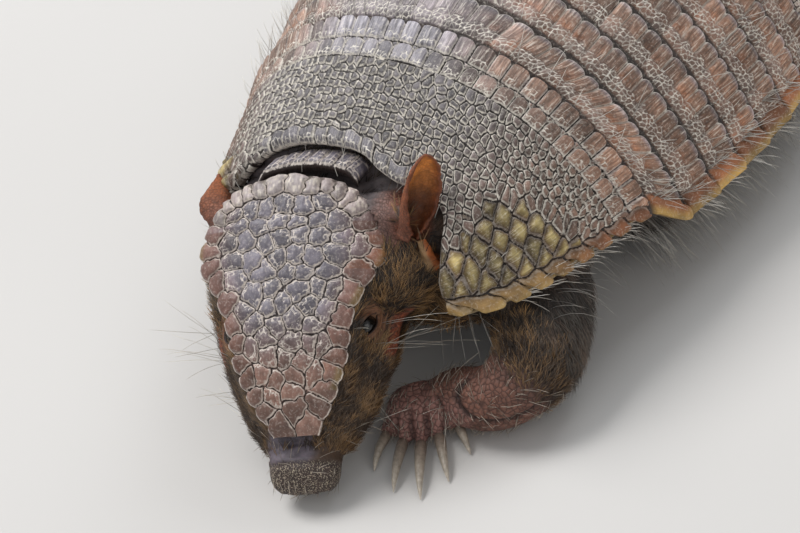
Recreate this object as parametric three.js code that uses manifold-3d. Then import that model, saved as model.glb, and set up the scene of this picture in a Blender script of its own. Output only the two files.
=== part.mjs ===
// A large hairy armadillo, life size, standing with its head lowered and turned to its left.
// Millimetres, +Z up. The animal faces -Y, its left side is +X and its soles rest on Z = 0.
// Lengths along the back are measured from the rear edge of the scapular shield.
import * as THREE from 'three';
import { mergeVertices } from 'three/addons/utils/BufferGeometryUtils.js';
import Module from 'manifold-3d';

const wasm = await Module();
wasm.setup();

// ---- Driving dimensions ------------------------------------------------------------------------

const GAP = 0.35; // clearance between neighbouring solids
const PLATE = 3; // thickness of the armour over the back
const HEAD_PLATE = 2.6; // thickness of the head shield
const ARC_STEPS = 14; // facets over the back from margin to margin

const SHOULDER_HALF_WIDTH = 83; // at the rear edge of the scapular shield
const BODY_HALF_WIDTH = 95; // widest, at the fifth band
const WIDEST_AT = 75;
const BODY_END = 187; // where the outline of the shell would close behind
const CROWN_HEIGHT = 116.7; // highest point of the back
const HIGHEST_AT = 80;
const SHIELD_FRONT = -44.8; // front edge of the scapular shield at the midline
const SHIELD_CORNER = 24; // how far its lower corners reach forward of that
const BAND_COUNT = 7;
const BAND_PITCH = 14.6;
const BAND_OVERLAP = 2.4; // length of each plate that lies under the one in front
const BAND_DROP = 10.5; // how much lower the bands reach than the scapular shield
const SHELL_REAR = 182; // rear edge of the pelvic shield
const BELLY_HEIGHT = 13;
const CHEST_LENGTH = 60; // from the first band forward to the breast
const MARGIN_SLACK = 3.4; // how much further the flesh stays inside the armour at its margins
const RIGHT_TUCK = 0.07; // how far the right shoulder is drawn in as the animal bends left

const HEAD_CENTRE = [1.9, -90.3, 59.8];
const HEAD_YAW = 21.5; // degrees towards the animal's left
const HEAD_PITCH = 40; // degrees nose down
const HEAD_ARCH = 0.0098; // drop of the head shield to each side, per square millimetre
const NOSE_START = -48.5;
const EYE = { at: [20.9, -8, -18], radius: 4.8 };
const EYE_HOLLOW = 2.4; // how far the skull draws in around the eye
const EAR = { length: 30, halfWidth: 7, stemRadius: 3.4, wall: 1.3 };
const LEFT_EAR = {
  root: [33.4, 12, -17.8],
  base: [39.7, 15.6, -9],
  axis: [0.42, 0.73, 0.62],
  opening: [0.79, -0.2, 0.58],
};
const RIGHT_EAR = {
  root: [30.6, 13, -20],
  base: [32.2, 17.5, -18.4],
  axis: [0.02, 1, 0.06],
  opening: [0.85, -0.25, 0.45],
};

const TAIL_PARTS = 3;
const FORE_CLAWS = [13, 19, 22, 18, 12];
const HIND_CLAWS = [8, 11, 12, 11, 8];

// ---- Colours and finishes ----------------------------------------------------------------------

const finish = (color, roughness) => new THREE.MeshStandardMaterial({ color, roughness, metalness: 0 });
const ARMOUR = { color: 0x8a7768, roughness: 0.55 };
const HEAD_ARMOUR = { color: 0x8f7c78, roughness: 0.55 };
const HIDE = { color: 0x4a362a, roughness: 0.9 };
const FOOT_SKIN = { color: 0x8c5a4a, roughness: 0.75 };
const HORN = { color: 0x7a6a5c, roughness: 0.45 };
const EAR_SKIN = { color: 0x9a5226, roughness: 0.7 };
const NOSE_SKIN = { color: 0x5d5055, roughness: 0.65 };
const EYE_GLOSS = { color: 0x14110f, roughness: 0.1 };

// ---- Small helpers -----------------------------------------------------------------------------

const vec = (p) => new THREE.Vector3(...p);
const mix = THREE.MathUtils.lerp;
const degrees = THREE.MathUtils.degToRad;
const steps = (count) => Array.from({ length: count + 1 }, (_, i) => i / count);
const mirrored = ([x, y, z]) => [-x, y, z];

// A smooth curve y(x) through a few points given in rising x.
function through(points) {
  return (x) => {
    const last = points.length - 1;
    const i = Math.min(last - 1, Math.max(0, points.findIndex((p) => p[0] > x) - 1));
    const k = x >= points[last][0] ? last - 1 : i;
    const t = THREE.MathUtils.clamp((x - points[k][0]) / (points[k + 1][0] - points[k][0]), 0, 1);
    const slope = (j) => {
      const a = points[Math.max(0, j - 1)];
      const b = points[Math.min(last, j + 1)];
      return ((b[1] - a[1]) / (b[0] - a[0])) * (points[k + 1][0] - points[k][0]);
    };
    const t2 = t * t;
    const t3 = t2 * t;
    return (
      points[k][1] * (2 * t3 - 3 * t2 + 1) +
      slope(k) * (t3 - 2 * t2 + t) +
      points[k + 1][1] * (3 * t2 - 2 * t3) +
      slope(k + 1) * (t3 - t2)
    );
  };
}

// A geometry from points and triangles, turned so that its faces point outwards.
function closed(points, triangles) {
  let volume = 0;
  for (const [a, b, c] of triangles) {
    volume += points[a].dot(points[b].clone().cross(points[c]));
  }
  const facing = volume < 0 ? triangles.map(([a, b, c]) => [a, c, b]) : triangles;
  const geometry = new THREE.BufferGeometry().setFromPoints(points);
  geometry.setIndex(facing.flat());
  return geometry;
}

// A closed skin over rings with the same number of points, with a fan over each end.
function loft(rings) {
  const sides = rings[0].length;
  const points = rings.flat();
  const triangles = [];
  for (let i = 0; i < rings.length - 1; i++) {
    for (let k = 0; k < sides; k++) {
      const a = i * sides + k;
      const b = i * sides + ((k + 1) % sides);
      triangles.push([a, b, b + sides], [a, b + sides, a + sides]);
    }
  }
  for (const end of [0, rings.length - 1]) {
    const middle = new THREE.Vector3();
    rings[end].forEach((p) => middle.addScaledVector(p, 1 / sides));
    points.push(middle);
    for (let k = 0; k < sides; k++) {
      const a = end * sides + k;
      const b = end * sides + ((k + 1) % sides);
      triangles.push(end ? [a, b, points.length - 1] : [b, a, points.length - 1]);
    }
  }
  return closed(points, triangles);
}

// A profile swept from one end section to the other, the ends closed by the profile itself.
function sweep(sections, flatProfile) {
  const count = flatProfile.length;
  const points = sections.flat();
  const triangles = [];
  for (let j = 0; j < sections.length - 1; j++) {
    for (let k = 0; k < count; k++) {
      const a = j * count + k;
      const b = j * count + ((k + 1) % count);
      triangles.push([a, b, b + count], [a, b + count, a + count]);
    }
  }
  const outline = flatProfile.map(([x, y]) => new THREE.Vector2(x, y));
  const last = (sections.length - 1) * count;
  const turned = THREE.ShapeUtils.isClockWise(outline);
  for (const [a, b, c] of THREE.ShapeUtils.triangulateShape(turned ? outline.toReversed() : outline, [])) {
    const [p, q, r] = turned ? [count - 1 - a, count - 1 - b, count - 1 - c] : [a, b, c];
    const near = turned ? [p, q, r] : [p, r, q];
    const far = turned ? [p, r, q] : [p, q, r];
    triangles.push(near, far.map((i) => i + last));
  }
  return closed(points, triangles);
}

// A limb: elliptical rings along a smooth line through stations of { at, wide, thick }.
function limb(stations, { rings, sides, across = [1, 0, 0], blunt = true, startAngle = 0 }) {
  const line = new THREE.CatmullRomCurve3(stations.map((s) => vec(s.at)), false, 'centripetal');
  const last = stations.length - 1;
  const wide = through(stations.map((s, i) => [i / last, s.wide]));
  const thick = through(stations.map((s, i) => [i / last, s.thick]));
  return loft(
    steps(rings).map((t) => {
      const forward = line.getTangent(t);
      const side = vec(across).addScaledVector(forward, -vec(across).dot(forward)).normalize();
      const up = forward.clone().cross(side);
      const narrowing = blunt && (t === 0 || t === 1) ? 0.62 : 1;
      return Array.from({ length: sides }, (_, k) => {
        const turn = startAngle + (k / sides) * 2 * Math.PI;
        return line
          .getPoint(t)
          .addScaledVector(side, Math.cos(turn) * wide(t) * narrowing)
          .addScaledVector(up, Math.sin(turn) * thick(t) * narrowing);
      });
    }),
  );
}

// ---- Joining and cutting -----------------------------------------------------------------------

function welded(geometry) {
  const bare = geometry.index ? geometry.toNonIndexed() : geometry.clone();
  bare.deleteAttribute('normal');
  bare.deleteAttribute('uv');
  return mergeVertices(bare, 1e-3);
}

function solid(geometry) {
  const mesh = welded(geometry);
  const vertProperties = mesh.attributes.position.array;
  return new wasm.Manifold(
    new wasm.Mesh({ numProp: 3, vertProperties, triVerts: new Uint32Array(mesh.index.array) }),
  );
}

function geometryOf(body) {
  const mesh = body.getMesh();
  const geometry = new THREE.BufferGeometry();
  geometry.setAttribute('position', new THREE.BufferAttribute(mesh.vertProperties, 3));
  geometry.setIndex(new THREE.BufferAttribute(mesh.triVerts, 1));
  return geometry;
}

// The geometry with its surface moved outwards by a clearance.
function grown(geometry, clearance = GAP + 0.1) {
  const mesh = welded(geometry);
  mesh.computeVertexNormals();
  const { position, normal } = mesh.attributes;
  for (let i = 0; i < position.count; i++) {
    const out = new THREE.Vector3().fromBufferAttribute(normal, i).multiplyScalar(clearance);
    const moved = new THREE.Vector3().fromBufferAttribute(position, i).add(out);
    position.setXYZ(i, moved.x, moved.y, moved.z);
  }
  return mesh;
}

const join = (geometries) => geometryOf(geometries.map(solid).reduce((a, b) => a.add(b)));

// The largest piece that is left of a geometry after its neighbours, with their clearance, are cut out.
function without(geometry, neighbours) {
  const left = neighbours.map((n) => solid(grown(n))).reduce((a, b) => a.subtract(b), solid(geometry));
  return geometryOf(left.decompose().reduce((a, b) => (b.volume() > a.volume() ? b : a)));
}

// Everything below the floor is cut away, which leaves a small flat where a piece rests.
function restedOnFloor(geometry) {
  const below = new THREE.BoxGeometry(400, 600, 100);
  below.translate(0, 80, -50);
  return geometryOf(solid(geometry).subtract(solid(below)));
}

// ---- Shape of the shell ------------------------------------------------------------------------

const roundedOff = (t, power) => Math.max(0, 1 - Math.abs(t) ** power) ** (1 / power);

function halfWidth(y) {
  if (y < 0) return (SHOULDER_HALF_WIDTH + 0.26 * y - 0.0014 * y * y) * roundedOff(y / 74, 6);
  if (y < WIDEST_AT) {
    const t = y / WIDEST_AT;
    return mix(SHOULDER_HALF_WIDTH, BODY_HALF_WIDTH, 1.62 * t - 0.62 * t * t);
  }
  return BODY_HALF_WIDTH * roundedOff((y - WIDEST_AT) / (BODY_END - WIDEST_AT), 2.6);
}

function crownHeight(y) {
  const fall = 0.002;
  if (y < HIGHEST_AT) return CROWN_HEIGHT - fall * (y - HIGHEST_AT) ** 2;
  const rumpHeight = 40;
  const rump = roundedOff((y - HIGHEST_AT) / (BODY_END - 1 - HIGHEST_AT), 2.4);
  return mix(rumpHeight, CROWN_HEIGHT, rump);
}

function marginHeight(y) {
  const flank = 38.1 - 0.065 * y + 0.0007 * y * y;
  const overHips = 38.6 + 10 * Math.max(0, (y - 100) / 86) ** 2;
  const bandDrop = BAND_DROP * THREE.MathUtils.smoothstep(y, 0, BAND_PITCH);
  const rumpLift = THREE.MathUtils.smoothstep(y, 110, SHELL_REAR);
  return (y < 100 ? flank : overHips) - bandDrop * (1 - rumpLift);
}

// The back bends to the left in front of the bands, as the head turns that way.
const bend = (y) => (y < 0 ? 0.0016 * y * y : 0);

// A point of the back at y along the body and turn over it: 0 at the left margin, PI at the right.
function backPoint(y, turn) {
  const sideways = Math.cos(turn);
  const tuck = sideways < 0 ? RIGHT_TUCK * Math.exp(-(((y + 15) / 30) ** 2)) : 0;
  const x = halfWidth(y) * (1 - tuck) * Math.sign(sideways) * Math.abs(sideways) ** 0.9;
  const z = mix(marginHeight(y), crownHeight(y), Math.abs(Math.sin(turn)) ** 1.3);
  return vec([x + bend(y), y, z]);
}

function shellPoint(y, turn, outwards) {
  const nudge = 0.06;
  const inner = THREE.MathUtils.clamp(turn, nudge, Math.PI - nudge);
  const along = backPoint(y + nudge, inner).sub(backPoint(y - nudge, inner));
  const over = backPoint(y, inner + nudge / 2).sub(backPoint(y, inner - nudge / 2));
  const normal = along.cross(over).normalize();
  if (normal.z < 0) normal.negate();
  return backPoint(y, turn).addScaledVector(normal, outwards);
}

// The front edge of the scapular shield: level over the nape, notched by the ears, then forward.
function frontEdge(turn) {
  return SHIELD_FRONT - SHIELD_CORNER * THREE.MathUtils.smoothstep(Math.abs(Math.cos(turn)), 0.32, 1.1);
}

const overTheBack = steps(ARC_STEPS).map((t) => t * Math.PI);

// ---- Armour ------------------------------------------------------------------------------------

const UNDERLAP_TOP = -1.95; // top of the lip that runs under the plate in front
const REAR_UNDERSIDE = UNDERLAP_TOP + GAP; // underside of a plate where it covers the next lip

// Front of a plate with its lip under the one before, as [y from its start, height] pairs.
const lip = [
  [-BAND_OVERLAP, -PLATE],
  [-BAND_OVERLAP, UNDERLAP_TOP],
  [0.3, UNDERLAP_TOP],
  [2.4, -0.2],
];

// Rear edge of a plate that covers the lip of the next, whose start is at y.
const rearEdge = (y) => [
  [y - GAP, 0.3],
  [y - GAP, REAR_UNDERSIDE],
  [y - BAND_OVERLAP - GAP, REAR_UNDERSIDE],
  [y - BAND_OVERLAP - GAP, -PLATE],
];

function plate(profileAt) {
  const place = (turn) => profileAt(turn).map(([y, height]) => shellPoint(y, turn, height));
  return sweep(overTheBack.map(place), profileAt(Math.PI / 2));
}

function scapularShield() {
  const along = (turn, share) => mix(frontEdge(turn), -BAND_OVERLAP - 2, share);
  const top = [0.03, 0.2, 0.42, 0.64, 0.84];
  const under = [0.68, 0.34];
  return plate((turn) => [
    [along(turn, 0), -PLATE],
    [along(turn, 0), -1],
    ...top.map((share) => [along(turn, share), 0]),
    ...rearEdge(0),
    ...under.map((share) => [along(turn, share), -PLATE]),
  ]);
}

function band(index) {
  const start = index * BAND_PITCH;
  return plate(() => [...lip.map(([y, height]) => [start + y, height]), ...rearEdge(start + BAND_PITCH)]);
}

function pelvicShield() {
  const start = BAND_COUNT * BAND_PITCH;
  const along = (share) => mix(start, SHELL_REAR, share);
  const top = [0.22, 0.45, 0.65, 0.8, 0.92, 0.985];
  const under = [0.88, 0.68, 0.4];
  return plate(() => [
    ...lip.map(([y, height]) => [start + y, height]),
    ...top.map((share) => [along(share), 0]),
    [along(1), -1],
    [along(1), -PLATE],
    ...under.map((share) => [along(share), -PLATE]),
  ]);
}

// ---- Head, in its own frame: X to its left, Y backwards along the skull, Z up from the brow -----

const shieldHalfWidth = through([
  [-43, 7.6], [-33, 14], [-20, 19.2], [-7, 21.7], [2, 25.5], [15, 32.4], [31, 26.5], [39, 18], [43, 4],
]);
const cheekHalfWidth = through([
  [-49, 13.2], [-38, 21], [-25, 27], [-10, 32], [6, 33.4], [20, 32.2], [28, 27], [35, 18],
]);
const jawDepth = through([[-49, 27.5], [-38, 30.5], [-24, 34.5], [-8, 40], [8, 43], [22, 41], [35, 32]]);

// Height of the midline of the head shield: highest over the brow, lower at nape and muzzle.
const ridge = (y) => -5 * Math.max(0, (y - 10) / 33) ** 2 - 8 * Math.max(0, (-y - 5) / 36) ** 1.6;
const browHeight = (x, y) => ridge(y) - HEAD_ARCH * x * x;

function headFlesh() {
  const under = HEAD_PLATE + GAP + 0.15;
  const half = (y) => {
    const shield = shieldHalfWidth(Math.min(41, Math.max(-43, y)));
    const cheek = cheekHalfWidth(y);
    const floor = -jawDepth(y);
    const inner = Math.min(shield - 0.6, cheek * 0.9);
    const socket = EYE_HOLLOW * Math.exp(-(((y - EYE.at[1]) / 6) ** 2));
    const lateral = Math.max(inner, mix(shield, cheek, 0.35) - socket);
    return [
      [0, ridge(y) - under],
      [inner * 0.5, browHeight(inner * 0.5, y) - under],
      [inner, browHeight(inner, y) - under],
      [mix(inner, lateral, 0.75), browHeight(inner, y) - under - 3.2],
      [lateral, -16],
      [cheek, -24],
      [cheek * 0.88, mix(-26, floor, 0.6)],
      [cheek * 0.5, floor + 2],
      [0, floor],
    ];
  };
  const stationsBack = [NOSE_START + 4 * GAP, -43, -34, -25, -16, -8, 0, 9, 18, 26, 32, 35];
  return loft(
    stationsBack.map((y) => {
      const left = half(y);
      const right = left.slice(1, -1).reverse().map(([x, z]) => [-x, z]);
      const narrowing = y === 35 ? 0.8 : 1;
      return [...left, ...right].map(([x, z]) => vec([x * narrowing, y, mix(-20, z, narrowing)]));
    }),
  );
}

function headShield() {
  const lengths = [-43, -37, -28, -18, -8, 1, 9, 16, 24, 32, 38, 43];
  const shares = steps(8).map((t) => 2 * t - 1);
  const profile = [
    ...shares.map((share) => [share, 0]),
    ...shares.toReversed().map((share) => [share * 0.97, -HEAD_PLATE]),
  ];
  const place = (y) => {
    const reach = shieldHalfWidth(y);
    return profile.map(([share, height]) => {
      const x = share * reach;
      return vec([x, y, browHeight(x, y) + height]);
    });
  };
  return sweep(lengths.map(place), profile);
}

function noseTip() {
  return limb(
    [
      { at: [0, NOSE_START, -19], wide: 12.6, thick: 8.6 },
      { at: [0, -53, -19.6], wide: 12.4, thick: 8.4 },
      { at: [0, -57, -20.2], wide: 12.2, thick: 8 },
      { at: [0, -60.5, -20.6], wide: 9, thick: 5.6 },
    ],
    { rings: 4, sides: 12, blunt: false },
  );
}

// A cupped leaf, rolled into a tube at its base, on a stem that rises from the skull.
function ear({ root, base, axis, opening }) {
  const up = vec(axis).normalize();
  const facing = vec(opening).addScaledVector(up, -vec(opening).dot(up)).normalize();
  const side = up.clone().cross(facing);
  const curl = through([[0, 2.75], [0.3, 2.0], [0.6, 1.35], [1, 1.0]]);
  const radius = through([[0, 3.8], [0.3, 6.4], [0.6, EAR.halfWidth], [0.82, 5.7], [1, 1.5]]);
  const columns = steps(6).map((t) => 2 * t - 1);
  const place = (t, share, wall) => {
    const angle = share * curl(t);
    const flare = (radius(t) - radius(0)) * 0.9 + 2 * t * t;
    const reach = Math.max(0.5, radius(t) - wall);
    return vec(base)
      .addScaledVector(up, t * EAR.length)
      .addScaledVector(facing, -Math.cos(angle) * reach + flare)
      .addScaledVector(side, Math.sin(angle) * reach);
  };
  const stem = (share, wall) => {
    const foot = place(0, share, wall).sub(vec(base)).multiplyScalar(EAR.stemRadius / radius(0));
    return foot.add(vec(root));
  };
  const profile = [
    ...columns.map((share) => [share, 0]),
    ...columns.toReversed().map((share) => [share, 1]),
  ];
  return sweep(
    [
      profile.map(([share, inner]) => stem(share, inner * EAR.wall)),
      ...steps(6).map((t) => profile.map(([share, inner]) => place(t, share, inner * EAR.wall))),
    ],
    profile,
  );
}

// The socket in the skull that the stem of an ear stands in.
function earSocket({ root, base }, side) {
  const line = vec(base).sub(vec(root));
  const heading = line.clone().normalize();
  const beyond = 9;
  const wide = EAR.halfWidth + 0.9;
  const narrow = EAR.stemRadius + 0.6;
  const socket = new THREE.CylinderGeometry(wide, narrow, line.length() + 1.5 * beyond, 7);
  socket.applyQuaternion(new THREE.Quaternion().setFromUnitVectors(vec([0, 1, 0]), heading));
  const middle = vec(root).addScaledVector(line, 0.5).addScaledVector(heading, 0.25 * beyond);
  socket.translate(...middle.toArray());
  return side > 0 ? socket : flipped(socket);
}

function eyeBall(centre) {
  const ball = new THREE.SphereGeometry(EYE.radius, 9, 6);
  ball.translate(...centre);
  return ball;
}

// ---- Neck, trunk and tail ----------------------------------------------------------------------

function trunkFlesh() {
  const bellyAngles = steps(8).slice(1, -1).map((t) => t * Math.PI);
  const ring = (y, reach) => {
    const over = overTheBack.map((turn) => {
      const slack = (y > 130 ? 1.6 : 1) * MARGIN_SLACK * (y > 170 ? 1 : Math.cos(turn) ** 4);
      const inset = PLATE + 2 * GAP + slack;
      return shellPoint(y < 0 ? (y * (frontEdge(turn) + 4)) / -CHEST_LENGTH : y, turn, -inset);
    });
    const left = over[0];
    const right = over[ARC_STEPS];
    const middle = mix(-58, 172, reach);
    const belly = BELLY_HEIGHT + 14 * ((middle - 50) / 115) ** 4;
    const under = bellyAngles.map((angle) => {
      const depth = Math.sin(angle) ** 0.85;
      const x = mix(right.x, left.x, (1 - Math.cos(angle)) / 2) * (1 - 0.1 * depth);
      return vec([x, mix(left.y, middle, depth), mix(left.z, belly, depth)]);
    });
    return [...over, ...under];
  };
  const along = [-CHEST_LENGTH, -0.5 * CHEST_LENGTH, 0, 7, BAND_PITCH, 45, 80, 104, 134, 156.5, 172.4, 180];
  const rings = along.map((y) => ring(y, (y + CHEST_LENGTH) / (180 + CHEST_LENGTH)));
  const shrunk = (points, centre, share) => points.map((p) => p.clone().lerp(vec(centre), share));
  const chest = shrunk(rings[0], [4, -54, 46], 0.45);
  const rump = shrunk(rings[rings.length - 1], [0, 185, 46], 0.55);
  return loft([chest, ...rings, rump]);
}

function neckFlesh() {
  return limb(
    [
      { at: [3, -34, 52], wide: 40, thick: 21 },
      { at: [1, -48, 51], wide: 41, thick: 21 },
      { at: [0, -61, 47], wide: 36, thick: 19 },
      { at: [-1, -72, 44], wide: 29, thick: 16 },
    ],
    { rings: 4, sides: 12 },
  );
}

// A short row of scutes across the nape, between the head shield and the scapular shield.
function neckBand() {
  const reach = 17;
  const profile = [[-2, 0], [2, 0.8], [2, -1.2], [-2, -1.8]];
  const place = (share) => {
    const x = -10 + share * reach;
    const y = -49 - 0.0055 * (x + 2) ** 2;
    const z = 80.8 - 5 * (x / 26) ** 2;
    return profile.map(([back, height]) => vec([x, y + back, z + height]));
  };
  return sweep(steps(6).map((t) => place(2 * t - 1)), profile);
}

const TAIL_LINE = [
  { at: [0, 170, 50], wide: 13.5, thick: 12.5 },
  { at: [0, 190, 44], wide: 12, thick: 11.5 },
  { at: [-2, 214, 27], wide: 9.5, thick: 9 },
  { at: [-5, 240, 10.5], wide: 7.2, thick: 6.8 },
  { at: [-7, 266, 4.6], wide: 5.2, thick: 5 },
  { at: [-7, 290, 2.2], wide: 2.6, thick: 2.4 },
];

// The whole tail, then its lengths, parted where the rings of scales change size.
function tailLengths() {
  const whole = restedOnFloor(limb(TAIL_LINE, { rings: 12, sides: 10 }));
  const line = new THREE.CatmullRomCurve3(TAIL_LINE.map((s) => vec(s.at)), false, 'centripetal');
  const cuts = [0.42, 0.7];
  const saws = cuts.map((t) => {
    const saw = new THREE.BoxGeometry(60, GAP, 60);
    saw.rotateX(Math.atan2(line.getTangent(t).z, line.getTangent(t).y));
    saw.translate(...line.getPoint(t).toArray());
    return solid(saw);
  });
  const parts = saws.reduce((body, saw) => body.subtract(saw), solid(whole)).decompose();
  const rearmost = (body) => body.boundingBox().max[1];
  return parts.sort((a, b) => rearmost(a) - rearmost(b)).slice(0, TAIL_PARTS).map(geometryOf);
}

// ---- Legs and feet, built for the left side ----------------------------------------------------

const LEFT_FORE_LEG = [
  { at: [46, -22, 50], wide: 18, thick: 15 },
  { at: [59, -36, 33], wide: 18, thick: 13.5 },
  { at: [66, -58, 20], wide: 15, thick: 14 },
  { at: [58, -70, 13.5], wide: 11.5, thick: 10.5 },
  { at: [36, -68, 10], wide: 9.5, thick: 8 },
];
const RIGHT_FORE_LEG = [
  { at: [42, -8, 50], wide: 18, thick: 15 },
  { at: [51, -14, 34], wide: 17, thick: 15 },
  { at: [54, -24, 21], wide: 14, thick: 13 },
  { at: [43, -35, 15], wide: 11.5, thick: 11 },
  { at: [30, -41, 10.5], wide: 9.5, thick: 8 },
];
const HIND_LEG = [
  { at: [46, 132, 52], wide: 24, thick: 17 },
  { at: [60, 116, 36], wide: 23, thick: 16.5 },
  { at: [66, 108, 24], wide: 17, thick: 13 },
  { at: [62, 126, 14.5], wide: 9.5, thick: 9 },
  { at: [60, 138, 10], wide: 8, thick: 7.5 },
];

const LEFT_FORE_STEP = { at: [28.7, -72.5, 0], yaw: 29 };
const RIGHT_FORE_STEP = { at: [29, -46, 0], yaw: 8 };
const HIND_STEP = { at: [61, 126, 0], yaw: 12 };

const FORE_FOOT = {
  palm: [
    { at: [0, 4, 8], wide: 10, thick: 7.4 },
    { at: [0, -4, 6.6], wide: 12.5, thick: 7.4 },
    { at: [0, -12, 5.2], wide: 12, thick: 5.6 },
  ],
  toeStart: -10,
  toeLength: 8.5,
  toeRadius: 3.1,
  spread: 5.4,
  fan: 9,
  claws: FORE_CLAWS,
  clawRadius: 2.2,
};
const HIND_FOOT = {
  palm: [
    { at: [0, 16, 7], wide: 7.5, thick: 7.6 },
    { at: [0, 0, 5.6], wide: 9.2, thick: 6.2 },
    { at: [0, -18, 4.6], wide: 11.5, thick: 5.2 },
  ],
  toeStart: -16,
  toeLength: 9,
  toeRadius: 3,
  spread: 4.9,
  fan: 8,
  claws: HIND_CLAWS,
  clawRadius: 2,
};

const legFlesh = (stations) => limb(stations, { rings: 6, sides: 9, across: [0, 1, 0.3] });

// Toes and claws fan out from the front of the palm; the middle toe reaches furthest.
function toeLine(foot, index) {
  const share = index - 2;
  const angle = degrees(share * foot.fan);
  const start = vec([share * foot.spread * 0.9, foot.toeStart + 1.4 * share * share, foot.toeRadius + 0.7]);
  const heading = vec([Math.sin(angle), -Math.cos(angle), 0]);
  const length = foot.toeLength - 0.6 * Math.abs(share);
  return { start, heading, end: start.clone().addScaledVector(heading, length) };
}

function toe(foot, index) {
  const { start, end } = toeLine(foot, index);
  const radius = foot.toeRadius;
  const middle = start.clone().lerp(end, 0.6).add(vec([0, 0, 0.7]));
  return limb(
    [
      { at: start.toArray(), wide: radius, thick: radius },
      { at: middle.toArray(), wide: radius, thick: radius },
      { at: end.toArray(), wide: radius * 0.82, thick: radius * 0.86 },
    ],
    { rings: 2, sides: 5, blunt: false },
  );
}

function claw(foot, index) {
  const { heading, end } = toeLine(foot, index);
  const length = foot.claws[index];
  const radius = foot.clawRadius * (0.75 + length / 88);
  const base = end.clone().addScaledVector(heading, 2 * GAP);
  const point = (share, lift) => {
    return base.clone().addScaledVector(heading, share * length).add(vec([0, 0, lift])).toArray();
  };
  const tipDrop = 0.45 - base.z;
  return limb(
    [
      { at: point(0, 0.2), wide: radius, thick: radius * 1.05 },
      { at: point(0.5, 0.9 + tipDrop * 0.2), wide: radius * 0.8, thick: radius * 0.8 },
      { at: point(1, tipDrop + 0.4), wide: 0.35, thick: 0.35 },
    ],
    { rings: 2, sides: 5, blunt: false },
  );
}

function placed(geometry, step, side) {
  geometry.rotateZ(degrees(step.yaw));
  geometry.translate(...step.at);
  return side > 0 ? geometry : flipped(geometry);
}

// The mirror image of a closed geometry across the body's midplane.
function flipped(geometry) {
  const copy = geometry.index ? geometry.toNonIndexed() : geometry.clone();
  const { position } = copy.attributes;
  const points = [];
  for (let i = 0; i < position.count; i++) {
    points.push(new THREE.Vector3(-position.getX(i), position.getY(i), position.getZ(i)));
  }
  return closed(points, steps(position.count / 3 - 1).map((_, i) => [3 * i, 3 * i + 2, 3 * i + 1]));
}

function footFlesh(foot) {
  const palm = limb(foot.palm, { rings: 3, sides: 8 });
  return join([palm, ...foot.claws.map((_, index) => toe(foot, index))]);
}

// ---- The animal --------------------------------------------------------------------------------

const animal = new THREE.Group();
const head = new THREE.Group();
head.position.set(...HEAD_CENTRE);
head.rotation.set(degrees(HEAD_PITCH), 0, degrees(HEAD_YAW), 'ZXY');
head.updateMatrix();
animal.add(head);

function add(name, geometry, { color, roughness }, parent = animal) {
  const mesh = new THREE.Mesh(geometry, finish(color, roughness));
  mesh.name = name;
  parent.add(mesh);
}

const inBodyFrame = (geometry) => geometry.clone().applyMatrix4(head.matrix);

// Head.
const eyes = { left: eyeBall(EYE.at), right: eyeBall(mirrored(EYE.at)) };
const ears = { left: ear(LEFT_EAR), right: flipped(ear(RIGHT_EAR)) };
const nose = noseTip();
const shieldOfHead = headShield();
const skullAndJaw = headFlesh();
const earSockets = [earSocket(LEFT_EAR, 1), earSocket(RIGHT_EAR, -1)];
const skull = without(skullAndJaw, [eyes.left, eyes.right, ...earSockets]);
add('head', skull, HIDE, head);
add('head_shield', shieldOfHead, HEAD_ARMOUR, head);
add('nose', nose, NOSE_SKIN, head);
for (const side of ['left', 'right']) {
  add(`eye_${side}`, eyes[side], EYE_GLOSS, head);
  add(`ear_${side}`, ears[side], EAR_SKIN, head);
}

// Shell.
const shell = { scapular_shield: scapularShield() };
for (let i = 0; i < BAND_COUNT; i++) shell[`band_${i + 1}`] = band(i);
shell.pelvic_shield = pelvicShield();
for (const [name, geometry] of Object.entries(shell)) add(name, geometry, ARMOUR);

// Neck, trunk and tail.
const headPieces = [skullAndJaw, ...earSockets].map(inBodyFrame);
const nape = neckBand();
const throat = neckFlesh();
const neck = without(throat, [...headPieces, inBodyFrame(shieldOfHead)]);
const tail = tailLengths();
add('neck', neck, HIDE);
add('neck_band', nape, ARMOUR);
['tail_base', 'tail_middle', 'tail_tip'].forEach((name, i) => add(name, tail[i], HIDE));

// Legs, feet and claws.
const LIMBS = [
  { name: 'fore', side: 'left', leg: LEFT_FORE_LEG, foot: FORE_FOOT, step: LEFT_FORE_STEP },
  { name: 'fore', side: 'right', leg: RIGHT_FORE_LEG, foot: FORE_FOOT, step: RIGHT_FORE_STEP },
  { name: 'hind', side: 'left', leg: HIND_LEG, foot: HIND_FOOT, step: HIND_STEP },
  { name: 'hind', side: 'right', leg: HIND_LEG, foot: HIND_FOOT, step: HIND_STEP },
];
const legs = [];
for (const { name, side, leg, foot, step } of LIMBS) {
  const sign = side === 'left' ? 1 : -1;
  const paw = restedOnFloor(placed(footFlesh(foot), step, sign));
  const whole = sign > 0 ? legFlesh(leg) : flipped(legFlesh(leg));
  legs.push(whole);
  add(`${name}_leg_${side}`, without(whole, [paw]), HIDE);
  add(`${name}foot_${side}`, paw, FOOT_SKIN);
  foot.claws.forEach((_, i) => {
    add(`claw_${name}_${side}_${i + 1}`, placed(claw(foot, i), step, sign), HORN);
  });
}
add('trunk', without(trunkFlesh(), [...headPieces, throat, ...legs, tail[0]]), HIDE);

// The frame's origin lies on the floor, under the middle of the whole.
const box = new THREE.Box3().setFromObject(animal, true);
const middle = box.getCenter(new THREE.Vector3());
animal.position.set(-middle.x, -middle.y, 0);

export default animal;
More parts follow.
